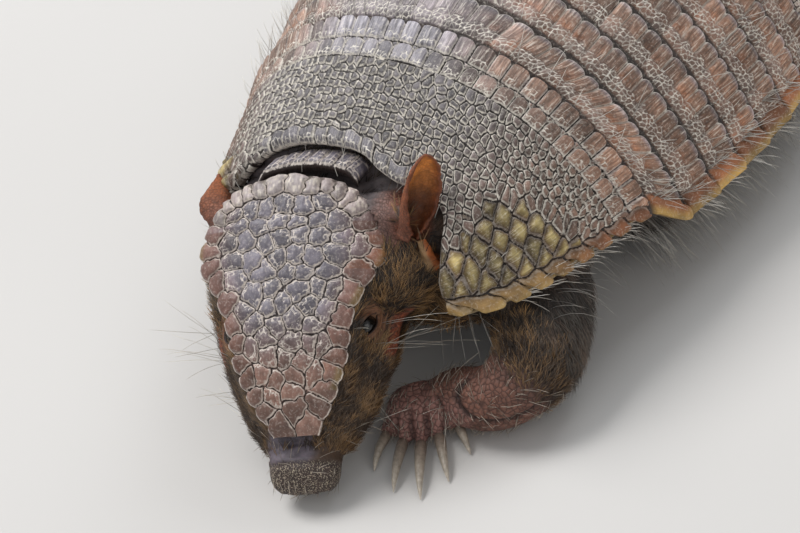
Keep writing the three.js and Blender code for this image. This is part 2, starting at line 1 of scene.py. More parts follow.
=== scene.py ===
# A large hairy armadillo, life size: the looks of a still museum model.
# Lengths are worked out in millimetres in the body's own frame (it faces -Y, its left is +X, the rear
# edge of the scapular shield is at y = 0) and are moved into the row frame, in metres, by SHIFT.
import math
import bmesh
import bpy
import numpy as np
from mathutils import Matrix, Vector, kdtree
from mathutils.bvhtree import BVHTree

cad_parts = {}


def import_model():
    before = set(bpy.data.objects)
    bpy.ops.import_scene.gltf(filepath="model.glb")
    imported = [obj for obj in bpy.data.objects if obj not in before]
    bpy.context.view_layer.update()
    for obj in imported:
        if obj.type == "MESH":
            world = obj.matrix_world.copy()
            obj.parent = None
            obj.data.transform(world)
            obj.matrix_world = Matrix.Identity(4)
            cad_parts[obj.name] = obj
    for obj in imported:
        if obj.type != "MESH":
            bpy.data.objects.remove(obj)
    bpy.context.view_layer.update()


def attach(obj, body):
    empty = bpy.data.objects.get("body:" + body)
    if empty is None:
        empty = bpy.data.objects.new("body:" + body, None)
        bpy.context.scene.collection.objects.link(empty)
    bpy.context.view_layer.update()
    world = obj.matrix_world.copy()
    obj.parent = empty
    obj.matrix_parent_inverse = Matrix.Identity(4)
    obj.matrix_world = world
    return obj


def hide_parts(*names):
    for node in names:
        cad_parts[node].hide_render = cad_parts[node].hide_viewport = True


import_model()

SHIFT = np.array([0.0, -82.0583, 0.0])
FAR = 9.0  # mm: a distance to the nearest line that is too great to be seen
rng = np.random.default_rng(11)


def world(points):
    return (np.asarray(points, float) + SHIFT) * 0.001


# ---- Small maths ---------------------------------------------------------------------------------


def smooth(x, a, b):
    t = np.clip((x - a) / (b - a), 0, 1)
    return t * t * (3 - 2 * t)


def mix(a, b, t):
    return a + (b - a) * t


def unit(v):
    return v / np.maximum(np.linalg.norm(v, axis=-1, keepdims=True), 1e-12)


def curve(points):
    """A smooth curve y(x) through points in rising x."""
    px = np.array([p[0] for p in points], float)
    py = np.array([p[1] for p in points], float)
    slope = np.concatenate([
        [(py[1] - py[0]) / (px[1] - px[0])],
        (py[2:] - py[:-2]) / (px[2:] - px[:-2]),
        [(py[-1] - py[-2]) / (px[-1] - px[-2])],
    ])

    def at(x):
        x = np.clip(np.asarray(x, float), px[0], px[-1])
        k = np.clip(np.searchsorted(px, x, side="right") - 1, 0, len(px) - 2)
        h = px[k + 1] - px[k]
        t = (x - px[k]) / h
        return (
            py[k] * (2 * t**3 - 3 * t**2 + 1)
            + slope[k] * h * (t**3 - 2 * t**2 + t)
            + py[k + 1] * (3 * t**2 - 2 * t**3)
            + slope[k + 1] * h * (t**3 - t**2)
        )

    return at


def hash3(i, j, k):
    n = (i * 374761393 + j * 668265263 + k * 2147483647 + 1013904223) & 0xFFFFFFFF
    n = ((n ^ (n >> 13)) * 1274126177) & 0xFFFFFFFF
    return ((n ^ (n >> 16)) & 0xFFFF) / 65535.0


def lumps(points, scale):
    """Smooth value noise from -1 to 1 at points, with lumps of about the given size in mm."""
    p = np.asarray(points, float) / scale + 1000.0
    i = np.floor(p).astype(np.int64)
    f = p - i
    f = f * f * (3 - 2 * f)
    total = 0
    for dx in (0, 1):
        for dy in (0, 1):
            for dz in (0, 1):
                w = (f[:, 0] if dx else 1 - f[:, 0]) * (f[:, 1] if dy else 1 - f[:, 1])
                w = w * (f[:, 2] if dz else 1 - f[:, 2])
                total = total + w * hash3(i[:, 0] + dx, i[:, 1] + dy, i[:, 2] + dz)
    return 2 * total - 1


def cells(points, seeds):
    """For each 2-D point: distance to the edge of its cell, and which cell it is."""
    tree = kdtree.KDTree(len(seeds))
    for i, (x, y) in enumerate(seeds):
        tree.insert((x, y, 0), i)
    tree.balance()
    n = len(points)
    first = np.zeros(n, int)
    edge = np.full(n, FAR)
    seeds = np.asarray(seeds)
    for m, (x, y) in enumerate(points):
        found = tree.find_n((x, y, 0), 3)
        i, d = found[0][1], found[0][2]
        first[m] = i
        for _, j, dj in found[1:]:
            gap = math.hypot(seeds[i][0] - seeds[j][0], seeds[i][1] - seeds[j][1])
            edge[m] = min(edge[m], (dj * dj - d * d) / (2 * gap + 1e-9))
    return edge, first


def seed_grid(x, y, pitch, seed):
    """Places about `pitch` apart over the ground that x and y cover, each moved a little at random."""
    local = np.random.default_rng(seed)
    gx, gy = np.meshgrid(np.arange(x.min() - 2, x.max() + 2, pitch), np.arange(y.min() - 2, y.max() + 2, pitch * 0.9))
    return np.stack([gx.ravel(), gy.ravel()], 1) + local.uniform(-0.42, 0.42, (gx.size, 2)) * pitch


def lumps_over(x, y, scale, layer=0.0):
    """Noise over a flat map of a plate, in the shape of x. Another layer is another pattern."""
    return lumps(np.stack([x.ravel(), y.ravel(), np.full(x.size, float(layer))], 1), scale).reshape(x.shape)


def off_middle(u):
    """0 in the middle of the cell between two whole numbers, 1 at its ends."""
    return np.abs(2 * (u - np.floor(u)) - 1)


def uneven(s, pitch, phase):
    """Counts cells of about `pitch` along s, now a little wider and now a little narrower."""
    return s / pitch + 0.09 * np.sin(s * 2.3 / pitch + phase)


def mirrored(h):
    """Points of the head with the right half laid over the left."""
    return np.stack([np.abs(h[:, 0]), h[:, 1], h[:, 2]], 1)


# ---- Meshes --------------------------------------------------------------------------------------


def new_mesh(name, points, faces, layers=None, place=True):
    """An object from points and faces (arrays of equal-sided faces), with float or colour layers per point.

    The points are in the body's frame in mm, or with place=False in the row frame in metres.
    """
    mesh = bpy.data.meshes.new(name)
    points = world(points) if place else np.asarray(points)
    faces = [np.asarray(f, np.int32) for f in (faces if isinstance(faces, list) else [faces])]
    mesh.vertices.add(len(points))
    mesh.vertices.foreach_set("co", points.astype(np.float32).ravel())
    loops = np.concatenate([f.ravel() for f in faces])
    sizes = np.concatenate([np.full(len(f), f.shape[1], np.int32) for f in faces])
    mesh.loops.add(len(loops))
    mesh.loops.foreach_set("vertex_index", loops)
    mesh.polygons.add(len(sizes))
    mesh.polygons.foreach_set("loop_start", np.concatenate([[0], np.cumsum(sizes)[:-1]]).astype(np.int32))
    mesh.polygons.foreach_set("loop_total", sizes)
    mesh.polygons.foreach_set("use_smooth", np.ones(len(sizes), bool))
    mesh.update(calc_edges=True)
    for key, values in (layers or {}).items():
        values = np.asarray(values, np.float32)
        if values.ndim == 1:
            mesh.attributes.new(key, "FLOAT", "POINT").data.foreach_set("value", values)
        else:
            rgba = np.concatenate([values, np.ones((len(values), 1), np.float32)], 1)
            mesh.attributes.new(key, "FLOAT_COLOR", "POINT").data.foreach_set("color", rgba.ravel())
    obj = bpy.data.objects.new(name, mesh)
    bpy.context.scene.collection.objects.link(obj)
    return obj


def grid_faces(rows, cols, first=0):
    r, c = np.meshgrid(np.arange(rows - 1), np.arange(cols - 1), indexing="ij")
    a = (first + r * cols + c).ravel()
    return np.stack([a, a + 1, a + 1 + cols, a + cols], 1)


def finish_piece(obj, material, slot, *nodes):
    obj.data.materials.append(material)
    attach(obj, "root")
    if nodes:
        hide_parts(*nodes)
    return obj


# ---- Materials -----------------------------------------------------------------------------------


class Nodes:
    """A short way to write a material's nodes."""

    def __init__(self, name):
        self.material = bpy.data.materials.new(name)
        self.material.use_nodes = True
        self.tree = self.material.node_tree
        self.shader = self.tree.nodes["Principled BSDF"]

    def add(self, kind, inputs=None, **settings):
        node = self.tree.nodes.new(kind)
        for key, value in settings.items():
            setattr(node, key, value)
        for key, value in (inputs or {}).items():
            if isinstance(value, bpy.types.NodeSocket):
                self.tree.links.new(value, node.inputs[key])
            else:
                node.inputs[key].default_value = value
        return node

    def attribute(self, name, output="Fac"):
        return self.add("ShaderNodeAttribute", attribute_name=name).outputs[output]

    def noise(self, scale, detail=3.0, roughness=0.5, vector=None):
        vector = vector or self.place()
        inputs = {"Vector": vector, "Scale": scale, "Detail": detail, "Roughness": roughness}
        return self.add("ShaderNodeTexNoise", inputs).outputs["Fac"]

    def place(self):
        return self.add("ShaderNodeTexCoord").outputs["Object"]

    def ramp(self, value, stops):
        node = self.add("ShaderNodeValToRGB", {"Fac": value})
        points = node.color_ramp.elements
        while len(points) < len(stops):
            points.new(0.5)
        for point, (at, colour) in zip(points, stops):
            point.position = at
            point.color = (*colour, 1) if isinstance(colour, tuple) else (colour, colour, colour, 1)
        return node.outputs["Color"]

    def mix(self, factor, a, b, how="MIX"):
        node = self.add("ShaderNodeMix", data_type="RGBA", blend_type=how)
        for socket, value in (("Factor", factor), ("A", a), ("B", b)):
            target = [s for s in node.inputs if s.name == socket and s.type in ("VALUE", "RGBA")]
            target = target[0] if socket == "Factor" else [s for s in target if s.type == "RGBA"][0]
            if isinstance(value, bpy.types.NodeSocket):
                self.tree.links.new(value, target)
            elif isinstance(value, tuple):
                target.default_value = (*value, 1)
            else:
                target.default_value = value
        return [s for s in node.outputs if s.type == "RGBA"][0]

    def maths(self, operation, a, b=0.0, c=0.0):
        node = self.add("ShaderNodeMath", operation=operation)
        for socket, value in zip(node.inputs, (a, b, c)):
            if isinstance(value, bpy.types.NodeSocket):
                self.tree.links.new(value, socket)
            else:
                socket.default_value = value
        return node.outputs[0]

    def times(self, a, b):
        return self.maths("MULTIPLY", a, b)

    def vary(self, colour, value, stops):
        """The colour times a ramp over the value."""
        return self.mix(1.0, colour, self.ramp(value, stops), "MULTIPLY")

    def finish(self, colour, roughness, height=None, strength=0.3, distance=0.0006, **settings):
        self.tree.links.new(colour, self.shader.inputs["Base Color"])
        if isinstance(roughness, bpy.types.NodeSocket):
            self.tree.links.new(roughness, self.shader.inputs["Roughness"])
        else:
            self.shader.inputs["Roughness"].default_value = roughness
        if height is not None:
            bump = self.add("ShaderNodeBump", {"Height": height, "Strength": strength, "Distance": distance})
            self.tree.links.new(bump.outputs["Normal"], self.shader.inputs["Normal"])
        for key, value in settings.items():
            self.shader.inputs[key.replace("_", " ")].default_value = value
        return self.material


def armour_material(name, groove, rim, gloss=0.5):
    """Horny scutes: the layer `tint` colours them, `edge` is the distance in mm to a scute's edge. The colour `rim` is
    the pale of a painted highlight: light specks, bright streaks, nodule outlines and a band along each rim.
    """
    n = Nodes(name)
    tint = n.attribute("tint", "Color")
    edge = n.attribute("edge")
    grain = n.noise(1100, 4, 0.62)
    broken = n.ramp(n.noise(520, 3, 0.6), [(0.38, 0.35), (0.55, 1.0)])
    jagged = n.maths("SUBTRACT", grain, 0.5)
    varied = n.vary(tint, n.attribute("cell"), [(0.0, 0.55), (0.5, 1.0), (1.0, 1.5)])
    varied = n.vary(varied, n.noise(170, 4, 0.6), [(0.3, 0.65), (0.7, 1.35)])
    # Light specks in the rim colour on the raised grain: a painted highlight.
    varied = n.mix(n.ramp(grain, [(0.52, 0.0), (0.72, 0.36)]), varied, rim)
    # Fine ridges that run along the body on each scute.
    stretch = {"X": ("across", 1.5), "Y": ("lie", 0.17), "Z": ("cell", 37.0)}
    stretch = {axis: n.times(n.attribute(layer), by) for axis, (layer, by) in stretch.items()}
    streaks = n.noise(1.0, 3, 0.6, n.add("ShaderNodeCombineXYZ", stretch).outputs[0])
    ridge = n.attribute("ridge")
    # On the ridges the colour follows their height: darker in the furrows as painted shade, lighter on the crests, and
    # bright streaks in the rim colour as a painted highlight.
    varied = n.mix(ridge, varied, n.vary(varied, streaks, [(0.34, 0.5), (0.5, 1.0), (0.62, 1.4)]))
    bright = n.times(n.ramp(streaks, [(0.58, 0.0), (0.7, 0.6)]), ridge)
    varied = n.mix(bright, varied, rim)
    # Pale outlines round the small nodules, in the rim colour: a painted highlight.
    nodule_outline = n.ramp(n.maths("MULTIPLY_ADD", jagged, 0.3, n.attribute("fine")), [(0.0, 1.0), (0.12, 0.9), (0.24, 0.0)])
    colour = n.mix(n.times(n.times(nodule_outline, broken), 0.95), varied, rim)
    # A broken pale band just inside each scute's edge, in the rim colour: a painted highlight.
    line = n.times(n.maths("MULTIPLY_ADD", jagged, 0.5, edge), 0.5)
    band = n.ramp(line, [(0.1, 0.0), (0.16, 1.0), (0.23, 0.8), (0.34, 0.0)])
    pale = n.times(n.times(band, broken), n.attribute("pale"))
    colour = n.mix(pale, colour, rim)
    colour = n.mix(n.ramp(line, [(0.06, 1.0), (0.14, 0.0)]), colour, groove)
    rough = n.ramp(grain, [(0.3, gloss - 0.14), (0.7, gloss + 0.2)])
    height = n.maths("MULTIPLY_ADD", grain, 0.5, n.times(nodule_outline, 0.25))
    height = n.maths("MULTIPLY_ADD", n.times(streaks, ridge), 1.6, height)
    return n.finish(colour, rough, height, 0.65, 0.0005)


# ---- The shell's surface, as in the CAD source ---------------------------------------------------

BAND_COUNT = 7
BAND_PITCH = 14.6
BAND_OVERLAP = 2.4  # how far each band reaches under the plate in front of it
SHELL_REAR = 182.0
PLATE = 3.0  # thickness of the plates in the CAD
# Rows of large scutes on the pelvic shield: rear edge of the first, and the step from row to row.
PELVIC_FIRST, PELVIC_PITCH, PELVIC_ROWS = 13.6, 8.2, 9


def rounded_off(t, power):
    return np.maximum(0, 1 - np.abs(t) ** power) ** (1 / power)


def half_width(y):
    front = (83 + 0.26 * y - 0.0014 * y * y) * rounded_off(y / 74, 6)
    t = np.clip(y, 0, 75) / 75
    middle = mix(83, 95, 1.62 * t - 0.62 * t * t)
    rear = 95 * rounded_off(np.maximum(y - 75, 0) / 112, 2.6)
    return np.where(y < 0, front, np.where(y < 75, middle, rear))


def crown_height(y):
    rump = rounded_off(np.maximum(y - 80, 0) / 106, 2.4)
    return np.where(y < 80, 116.7 - 0.002 * (y - 80) ** 2, mix(40, 116.7, rump))


def margin_height(y):
    flank = 38.1 - 0.065 * y + 0.0007 * y * y
    hips = 38.6 + 10 * np.maximum(0, (y - 100) / 86) ** 2
    drop = 10.5 * smooth(y, 0, BAND_PITCH) * (1 - smooth(y, 110, SHELL_REAR))
    return np.where(y < 100, flank, hips) - drop


def back_point(y, turn):
    """A point of the shell's surface: turn is 0 at the left margin, half pi on the crown and pi at the right."""
    y, turn = np.broadcast_arrays(np.asarray(y, float), np.asarray(turn, float))
    sideways = np.cos(turn)
    tuck = np.where(sideways < 0, 0.07 * np.exp(-(((y + 15) / 30) ** 2)), 0)
    x = half_width(y) * (1 - tuck) * np.sign(sideways) * np.abs(sideways) ** 0.9
    z = mix(margin_height(y), crown_height(y), np.abs(np.sin(turn)) ** 1.3)
    return np.stack([x + np.where(y < 0, 0.0016 * y * y, 0), y, z], -1)


def back_normal(y, turn):
    nudge = 0.06
    inner = np.clip(turn, nudge, math.pi - nudge)
    along = back_point(y + nudge, inner) - back_point(y - nudge, inner)
    over = back_point(y, inner + nudge / 2) - back_point(y, inner - nudge / 2)
    normal = unit(np.cross(along, over))
    return np.where(normal[..., 2:] < 0, -normal, normal)


def front_edge(sideways):
    """Front edge of the CAD's scapular shield, which the trunk follows: sideways is 0 on the crown, 1 at a margin."""
    return -44.8 - 24 * smooth(sideways, 0.32, 1.1)


# Front edge of the plate that is seen, by the cosine of the turn, -1 at the right margin and 1 at the left. It is
# drawn back for the ears, and furthest forward at the lower left corner, because the head is turned to the left.
plate_front = curve([
    (-1, -62), (-0.85, -56.5), (-0.71, -51.5), (-0.53, -47), (-0.33, -44.4), (0, -44.2), (0.1, -45.6), (0.18, -48.4),
    (0.3, -50.4), (0.45, -49.8), (0.58, -53), (0.68, -61.5), (0.8, -68.4), (0.9, -71), (1, -72),
])


# Tables that turn a share of the way down a flank (+1 at the left margin, -1 at the right) into a turn.
TABLE_Y = np.linspace(-72.0, 186.5, 180)
TABLE_TURN = np.linspace(0, math.pi, 541)
TABLE_SHARE = np.linspace(-1, 1, 241)
_points = back_point(TABLE_Y[:, None], TABLE_TURN[None])
_steps = np.linalg.norm(np.diff(_points, axis=1), axis=2)
_length = np.concatenate([np.zeros((len(TABLE_Y), 1)), np.cumsum(_steps, 1)], 1)
_crown = _length[:, 270]
FLANK_LEFT, FLANK_RIGHT = _crown, _length[:, -1] - _crown
TURN_AT = np.array([
    np.interp(np.where(TABLE_SHARE > 0, c - TABLE_SHARE * c, c - TABLE_SHARE * r), row, TABLE_TURN)
    for row, c, r in zip(_length, FLANK_LEFT, FLANK_RIGHT)
])


def turn_at(y, share):
    y, share = np.broadcast_arrays(np.asarray(y, float), np.asarray(share, float))
    fy = np.clip((y - TABLE_Y[0]) / (TABLE_Y[1] - TABLE_Y[0]), 0, len(TABLE_Y) - 1.001)
    fs = np.clip((share + 1) / (TABLE_SHARE[1] - TABLE_SHARE[0]), 0, len(TABLE_SHARE) - 1.001)
    i, j = fy.astype(int), fs.astype(int)
    ty, ts = fy - i, fs - j
    low = mix(TURN_AT[i, j], TURN_AT[i, j + 1], ts)
    return mix(low, mix(TURN_AT[i + 1, j], TURN_AT[i + 1, j + 1], ts), ty)


def flank_length(y, share):
    left, right = np.interp(y, TABLE_Y, FLANK_LEFT), np.interp(y, TABLE_Y, FLANK_RIGHT)
    return np.where(share > 0, left, right)


def plate_object(name, y, share, height, layers, material, *nodes):
    """A curved plate: an outer skin of rows along the body, folded under at both ends."""
    turn = turn_at(y, share)
    points = back_point(y, turn) + back_normal(y, turn) * height[..., None]
    normal = back_normal(y, turn)
    thick = PLATE - 0.4
    ends = [
        points[-1] - normal[-1] * thick * 0.5 - [0, 0.2, 0],
        points[-1] - normal[-1] * thick - [0, 0.9, 0],
        mix(points[-1], points[0], 0.5) - normal[len(y) // 2] * thick,
        points[0] - normal[0] * thick + [0, 0.9, 0],
        points[0] - normal[0] * thick * 0.5 + [0, 0.2, 0],
    ]
    if len(y) > 60:
        under = [points[len(y) * k // 8] - normal[len(y) * k // 8] * thick for k in (7, 6, 5, 4, 3, 2, 1)]
        ends[2:3] = under
    rows = np.concatenate([points, np.array(ends)], 0)
    n, m = rows.shape[:2]
    faces = grid_faces(n, m)
    last = (n - 1) * m
    join = np.stack([last + np.arange(m - 1), last + np.arange(1, m), np.arange(1, m), np.arange(m - 1)], 1)
    spread = {}
    for key, values in layers.items():
        tail = np.repeat(values[-1:], 2, 0)
        middle = np.repeat(values[:1], len(ends) - 2, 0)
        spread[key] = np.concatenate([values, tail, middle], 0).reshape(n * m, *values.shape[2:])
    caps = [np.array([np.arange(n) * m]), np.array([(np.arange(n) * m + m - 1)[::-1]])]
    obj = new_mesh(name, rows.reshape(-1, 3), [faces, join, *caps], spread)
    return finish_piece(obj, material, "armour", *nodes)


def rgb(r, g, b):
    """Linear colour from the 0-255 values that a picture shows."""
    v = np.array([r, g, b]) / 255
    return np.where(v <= 0.04045, v / 12.92, ((v + 0.055) / 1.055) ** 2.4)


def blend(a, b, t):
    return a + (b - a) * np.asarray(t)[..., None]


def put(tint, where, colour):
    """The tint with another colour where the mask is true."""
    return np.where(where[..., None], colour, tint)


GROOVE = tuple(rgb(32, 23, 19))
# The pale cream of the painted highlights on the scutes' rims, streaks and nodules.
RIM_HIGHLIGHT = tuple(rgb(236, 229, 216))


# ---- Armour over the back ------------------------------------------------------------------------

GREY_TOP = rgb(98, 93, 95)
BROWN_SIDE = rgb(82, 60, 47)
LILAC = rgb(142, 138, 145)
PINK_BROWN = rgb(142, 113, 97)
RUSTY = rgb(138, 104, 84)
ORANGE = rgb(146, 90, 54)
OCHRE = rgb(142, 112, 66)
OLIVE = rgb(122, 104, 62)
GAP_SKIN = rgb(64, 54, 50)


def three_way(share, top, middle, side):
    """A colour that changes from the crown to the upper flank and on to the margin."""
    a = np.abs(share)
    return blend(blend(top, middle, smooth(a, 0.12, 0.42)), side, smooth(a, 0.45, 0.82))


def lay_rows(s, y, start, rows):
    """Scutes in rows across the back, each row as (rear edge, pitch, scallop): the distance in mm to a scute's
    edge, its row and its column."""
    front = np.full(s.shape, float(start))
    edge = y - front
    row = np.zeros(s.shape, int)
    column = np.zeros(s.shape)
    for k, (rear, pitch, scallop) in enumerate(rows):
        u = uneven(s, pitch, 1.9 * k) + 0.5 * (k % 2)
        side = off_middle(u)
        boundary = rear - scallop * side**3
        inside = (y >= front) & (y < boundary)
        here = np.minimum(np.minimum(y - front, boundary - y), (1 - side) * pitch / 2)
        edge = np.where(inside, here, edge)
        row = np.where(inside, k, row)
        column = np.where(inside, np.floor(u), column)
        front = boundary
    return edge, row, column


def relief(edge, depth, width, dome, reach):
    """Height of a scute from the distance to its edge: a groove round it and a low dome."""
    return depth * (smooth(edge, 0, width) - 1) + dome * smooth(edge, 0, reach)


def cell_random(row, column, seed=0):
    return hash3(np.asarray(row).astype(np.int64) + 7, column.astype(np.int64) + 400, seed)


def grit(s, y, pitch, seed):
    """Distance to the lines between small nodules, about `pitch` apart."""
    edge, _ = cells(np.stack([s.ravel(), y.ravel()], 1), seed_grid(s, y, pitch, seed))
    return edge.reshape(s.shape)


def scalloped(share, reach, edge, depth, deep):
    """Draws the margin in between its scutes: edge is the distance along it to the line between two of them."""
    return share * (1 - deep / reach * (1 - smooth(edge, 0, 2.4)) * smooth(depth, 2, 6.5))


def end_scutes(depth, y, pitch, phase):
    """The big slanting scutes along a margin: depth is the distance out from the row's inner edge."""
    u = (y - 0.55 * depth) / pitch + phase
    return (1 - off_middle(u)) * pitch / 2, np.floor(u)


def plate_grid(rows, cols):
    """Share of the way down each flank for every point of a plate, and share of the way to its rear edge."""
    return np.linspace(-1, 1, cols)[None].repeat(rows, 0), np.linspace(0, 1, rows)[:, None]


def with_nodules(height, fine, depth):
    """Sinks the lines between the small nodules, where there are any."""
    return height - np.where(fine < FAR - 1, depth * (1 - smooth(fine, 0, 0.4)), 0)


ARMOUR = armour_material("horny_scutes", GROOVE, RIM_HIGHLIGHT)
SCAPULAR_FRONT = -72  # mm: the furthest forward that the scapular shield reaches
NAPE_CELL = 90000  # numbers from here on are the cells of the row over the nape
LIP_DEPTH = -2.05  # mm: how far the lip of a plate lies under the plate in front of it


def scapular_seeds():
    """Middles of the small scutes of the scapular shield, and of the large ones in its lower front corners."""
    small, yy, k = [], -16.2, 0
    while yy > SCAPULAR_FRONT:
        half = float(flank_length(yy, 1.0))
        step = mix(3.0, 2.6, min(1, -yy / 60))
        for side in np.arange(-half, half, step):
            share = abs(side / half)
            if share <= 0.6 or yy >= -22 - 40 * (1 - share):
                small.append((side + step * (0.5 * (k % 2) + rng.uniform(-0.24, 0.24)), yy + rng.uniform(-0.5, 0.5)))
        yy -= 2.75
        k += 1
    small = [p for p in small if rng.uniform() > 0.08]
    big = []
    for k, yy in enumerate(np.arange(-24, SCAPULAR_FRONT, -6.4)):
        half = float(flank_length(yy, 1.0))
        for side in np.arange(0.5 * half, half + 4, 6.6):
            for sign in (1, -1):
                if (side + 3) / half > 0.6 and yy < -25 - 40 * (1 - side / half):
                    big.append((sign * (side + 3.3 * (k % 2) + rng.uniform(-0.6, 0.6)), yy + rng.uniform(-0.7, 0.7)))
    return small, big


def scapular_shield():
    """The plate over the shoulders: a crowd of small scutes, larger ones at the margin and two rows at the rear."""
    share, v = plate_grid(124, 520)
    front = plate_front(np.cos(turn_at(-50, share[0])))
    reach_rear = flank_length(-2, share)
    s_rear = share * reach_rear
    pitch = 6.6
    notch = 1.3 * off_middle(uneven(s_rear[0], pitch, 1.9 * 2)) ** 3
    y = mix(front[None], -0.35 - notch[None], v)
    reach = flank_length(y, share)
    s = share * reach
    # The two rear rows.
    rear_start = -14.4
    edge_r, row_r, column_r = lay_rows(s_rear, y + 0.3 * lumps_over(s, y, 2.4), rear_start,
                                       [(-7.6, pitch, 2.4), (-7.59, pitch, 0), (0.4, pitch, 0)])
    rear_zone = y > rear_start
    last = y > -8.4
    # Large slanting scutes along the margin.
    margin_width = mix(7.4, 6.2, smooth(y, -60, 0))
    depth = np.abs(s) - (reach - margin_width) + 0.5 * np.sin(y * 0.9)
    edge_m, column_m = end_scutes(depth, y, 8.8, 0.2)
    outline = scalloped(share, reach, edge_m, depth, 2.0)
    edge_m = np.minimum(edge_m, np.minimum(depth, reach - np.abs(s) + 0.8))
    margin = depth > 0
    # Small scutes everywhere else, larger in the lower front corner.
    small, big = scapular_seeds()
    seeds = small + big
    shaken = [s + 0.28 * lumps_over(s, y, 1.9), y + 0.28 * lumps_over(s + 40, y + 40, 1.9, 40)]
    longer = np.array([1.12, 0.9])
    edge_v, cell_v = cells(np.stack([a.ravel() for a in shaken], 1) * longer, np.array(seeds) * longer)
    edge_v, cell_v = edge_v.reshape(s.shape), cell_v.reshape(s.shape)
    is_big = cell_v >= len(small)
    edge_v = np.minimum(edge_v, np.where(margin, FAR, -depth))
    edge_v = np.minimum(edge_v, np.maximum(rear_start - y, 0.0) + np.where(rear_zone, FAR, 0))
    # A row of taller scutes along the front edge, over the nape.
    tall, over_nape = 5.0, np.abs(share) < 0.4
    ahead = y - front[None] - 0.5 * np.sin(s * 0.8)
    first = (ahead < tall) & over_nape & ~margin
    place = s / 6.3 + 0.1 * np.sin(s * 0.7)
    edge_f = np.minimum((1 - off_middle(place)) * 3.15, tall - ahead)
    edge_v = np.minimum(edge_v, np.where(over_nape, np.abs(ahead - tall), FAR))
    cell_v = np.where(first, NAPE_CELL + np.floor(place).astype(int), cell_v)
    edge_v = np.minimum(np.where(first, edge_f, edge_v), y - front[None] + 0.4)
    edge = np.where(margin, 0.5 * edge_m, np.where(rear_zone, edge_r, edge_v))
    cell = np.where(rear_zone, cell_random(row_r, column_r), hash3(cell_v, 5, 9))
    cell = np.where(margin, cell_random(column_m, np.sign(s), 3), cell)
    side = smooth(np.abs(share), 0.3, 0.8)
    tint = blend(GREY_TOP, BROWN_SIDE, side)
    tint = blend(tint, PINK_BROWN, 0.45 * side * smooth(edge, 0.4, 1.0))
    tint = put(tint, first, blend(tint, LILAC, 0.45))
    # Big scutes of the lower front corner: dark brown at the edge as painted shade on their sides, olive inside, and
    # pale yellow on the dome as a painted highlight.
    lit_pebble = blend(blend(BROWN_SIDE, OLIVE, smooth(edge, 0.3, 1.3)), rgb(176, 158, 104), 0.75 * smooth(edge, 1.3, 2.4))
    tint = put(tint, ~margin & ~rear_zone & is_big, lit_pebble)
    rear_tint = three_way(share, LILAC, PINK_BROWN, RUSTY)
    rear_tint = blend(rear_tint, LILAC, 0.5 * smooth(-edge_r, -0.9, -0.3))
    tint = put(tint, last, rear_tint)
    tint = put(tint, rear_zone & ~last, blend(tint, rear_tint, 0.6))
    # The margin scutes: ochre to orange from front to rear, darker brown near the margin's inner edge and paler towards
    # its outer edge.
    margin_tint = blend(blend(OCHRE, ORANGE, smooth(y, -52, -15)), BROWN_SIDE, 0.5 * smooth(-depth, -3.2, -0.6))
    tint = put(tint, margin, blend(margin_tint, rgb(186, 156, 92), 0.5 * smooth(depth, 4, 7)))
    ridge = np.where(margin, 0.1, np.where(last | first, 0.9, np.where(rear_zone, 0.5, np.where(is_big, 0.5, 0.1))))
    dome = np.where(margin, 1.1, np.where(last | first, 0.5, np.where(is_big, 1.35, mix(0.4, 0.65, side))))
    loose = y + 1.4 * lumps_over(s, y, 2.2)
    gritty = (last & (loose < -5.0)) | (rear_zone & ~last & (loose < -11.4)) | (first & (ahead < 2.2))
    fine = np.where(gritty & ~margin, grit(s, y, 1.75, 21), FAR)
    reach_up = np.where(margin | is_big, 2.8, 1.3)
    height = relief(edge, np.where(is_big, 1.1, 0.85), 0.7, dome, reach_up) + 0.35 * (cell - 0.5)
    height = with_nodules(height, fine, 0.2)
    height = height + np.where(last, 0.8 * smooth(y, -9, 0), 0) + 0.45 * smooth(-y, -3, 0)
    height = np.where(margin, height - 1.7 * (1 - smooth(edge_m, 0, 1.8)) * smooth(depth, 1, 5), height)
    height = height - 1.4 * (1 - smooth(y - front[None], 0, 1.6))
    # The layer `pale` sets how strongly the painted rim highlight shows.
    layers = dict(tint=tint, edge=edge, cell=cell, fine=fine, across=s_rear, lie=y, ridge=ridge,
                  pale=np.where(margin | is_big, 0.3, np.where(last, 0.7, 1.0)))
    return plate_object("shell_scapular", y, outline, height, layers, ARMOUR, "scapular_shield")


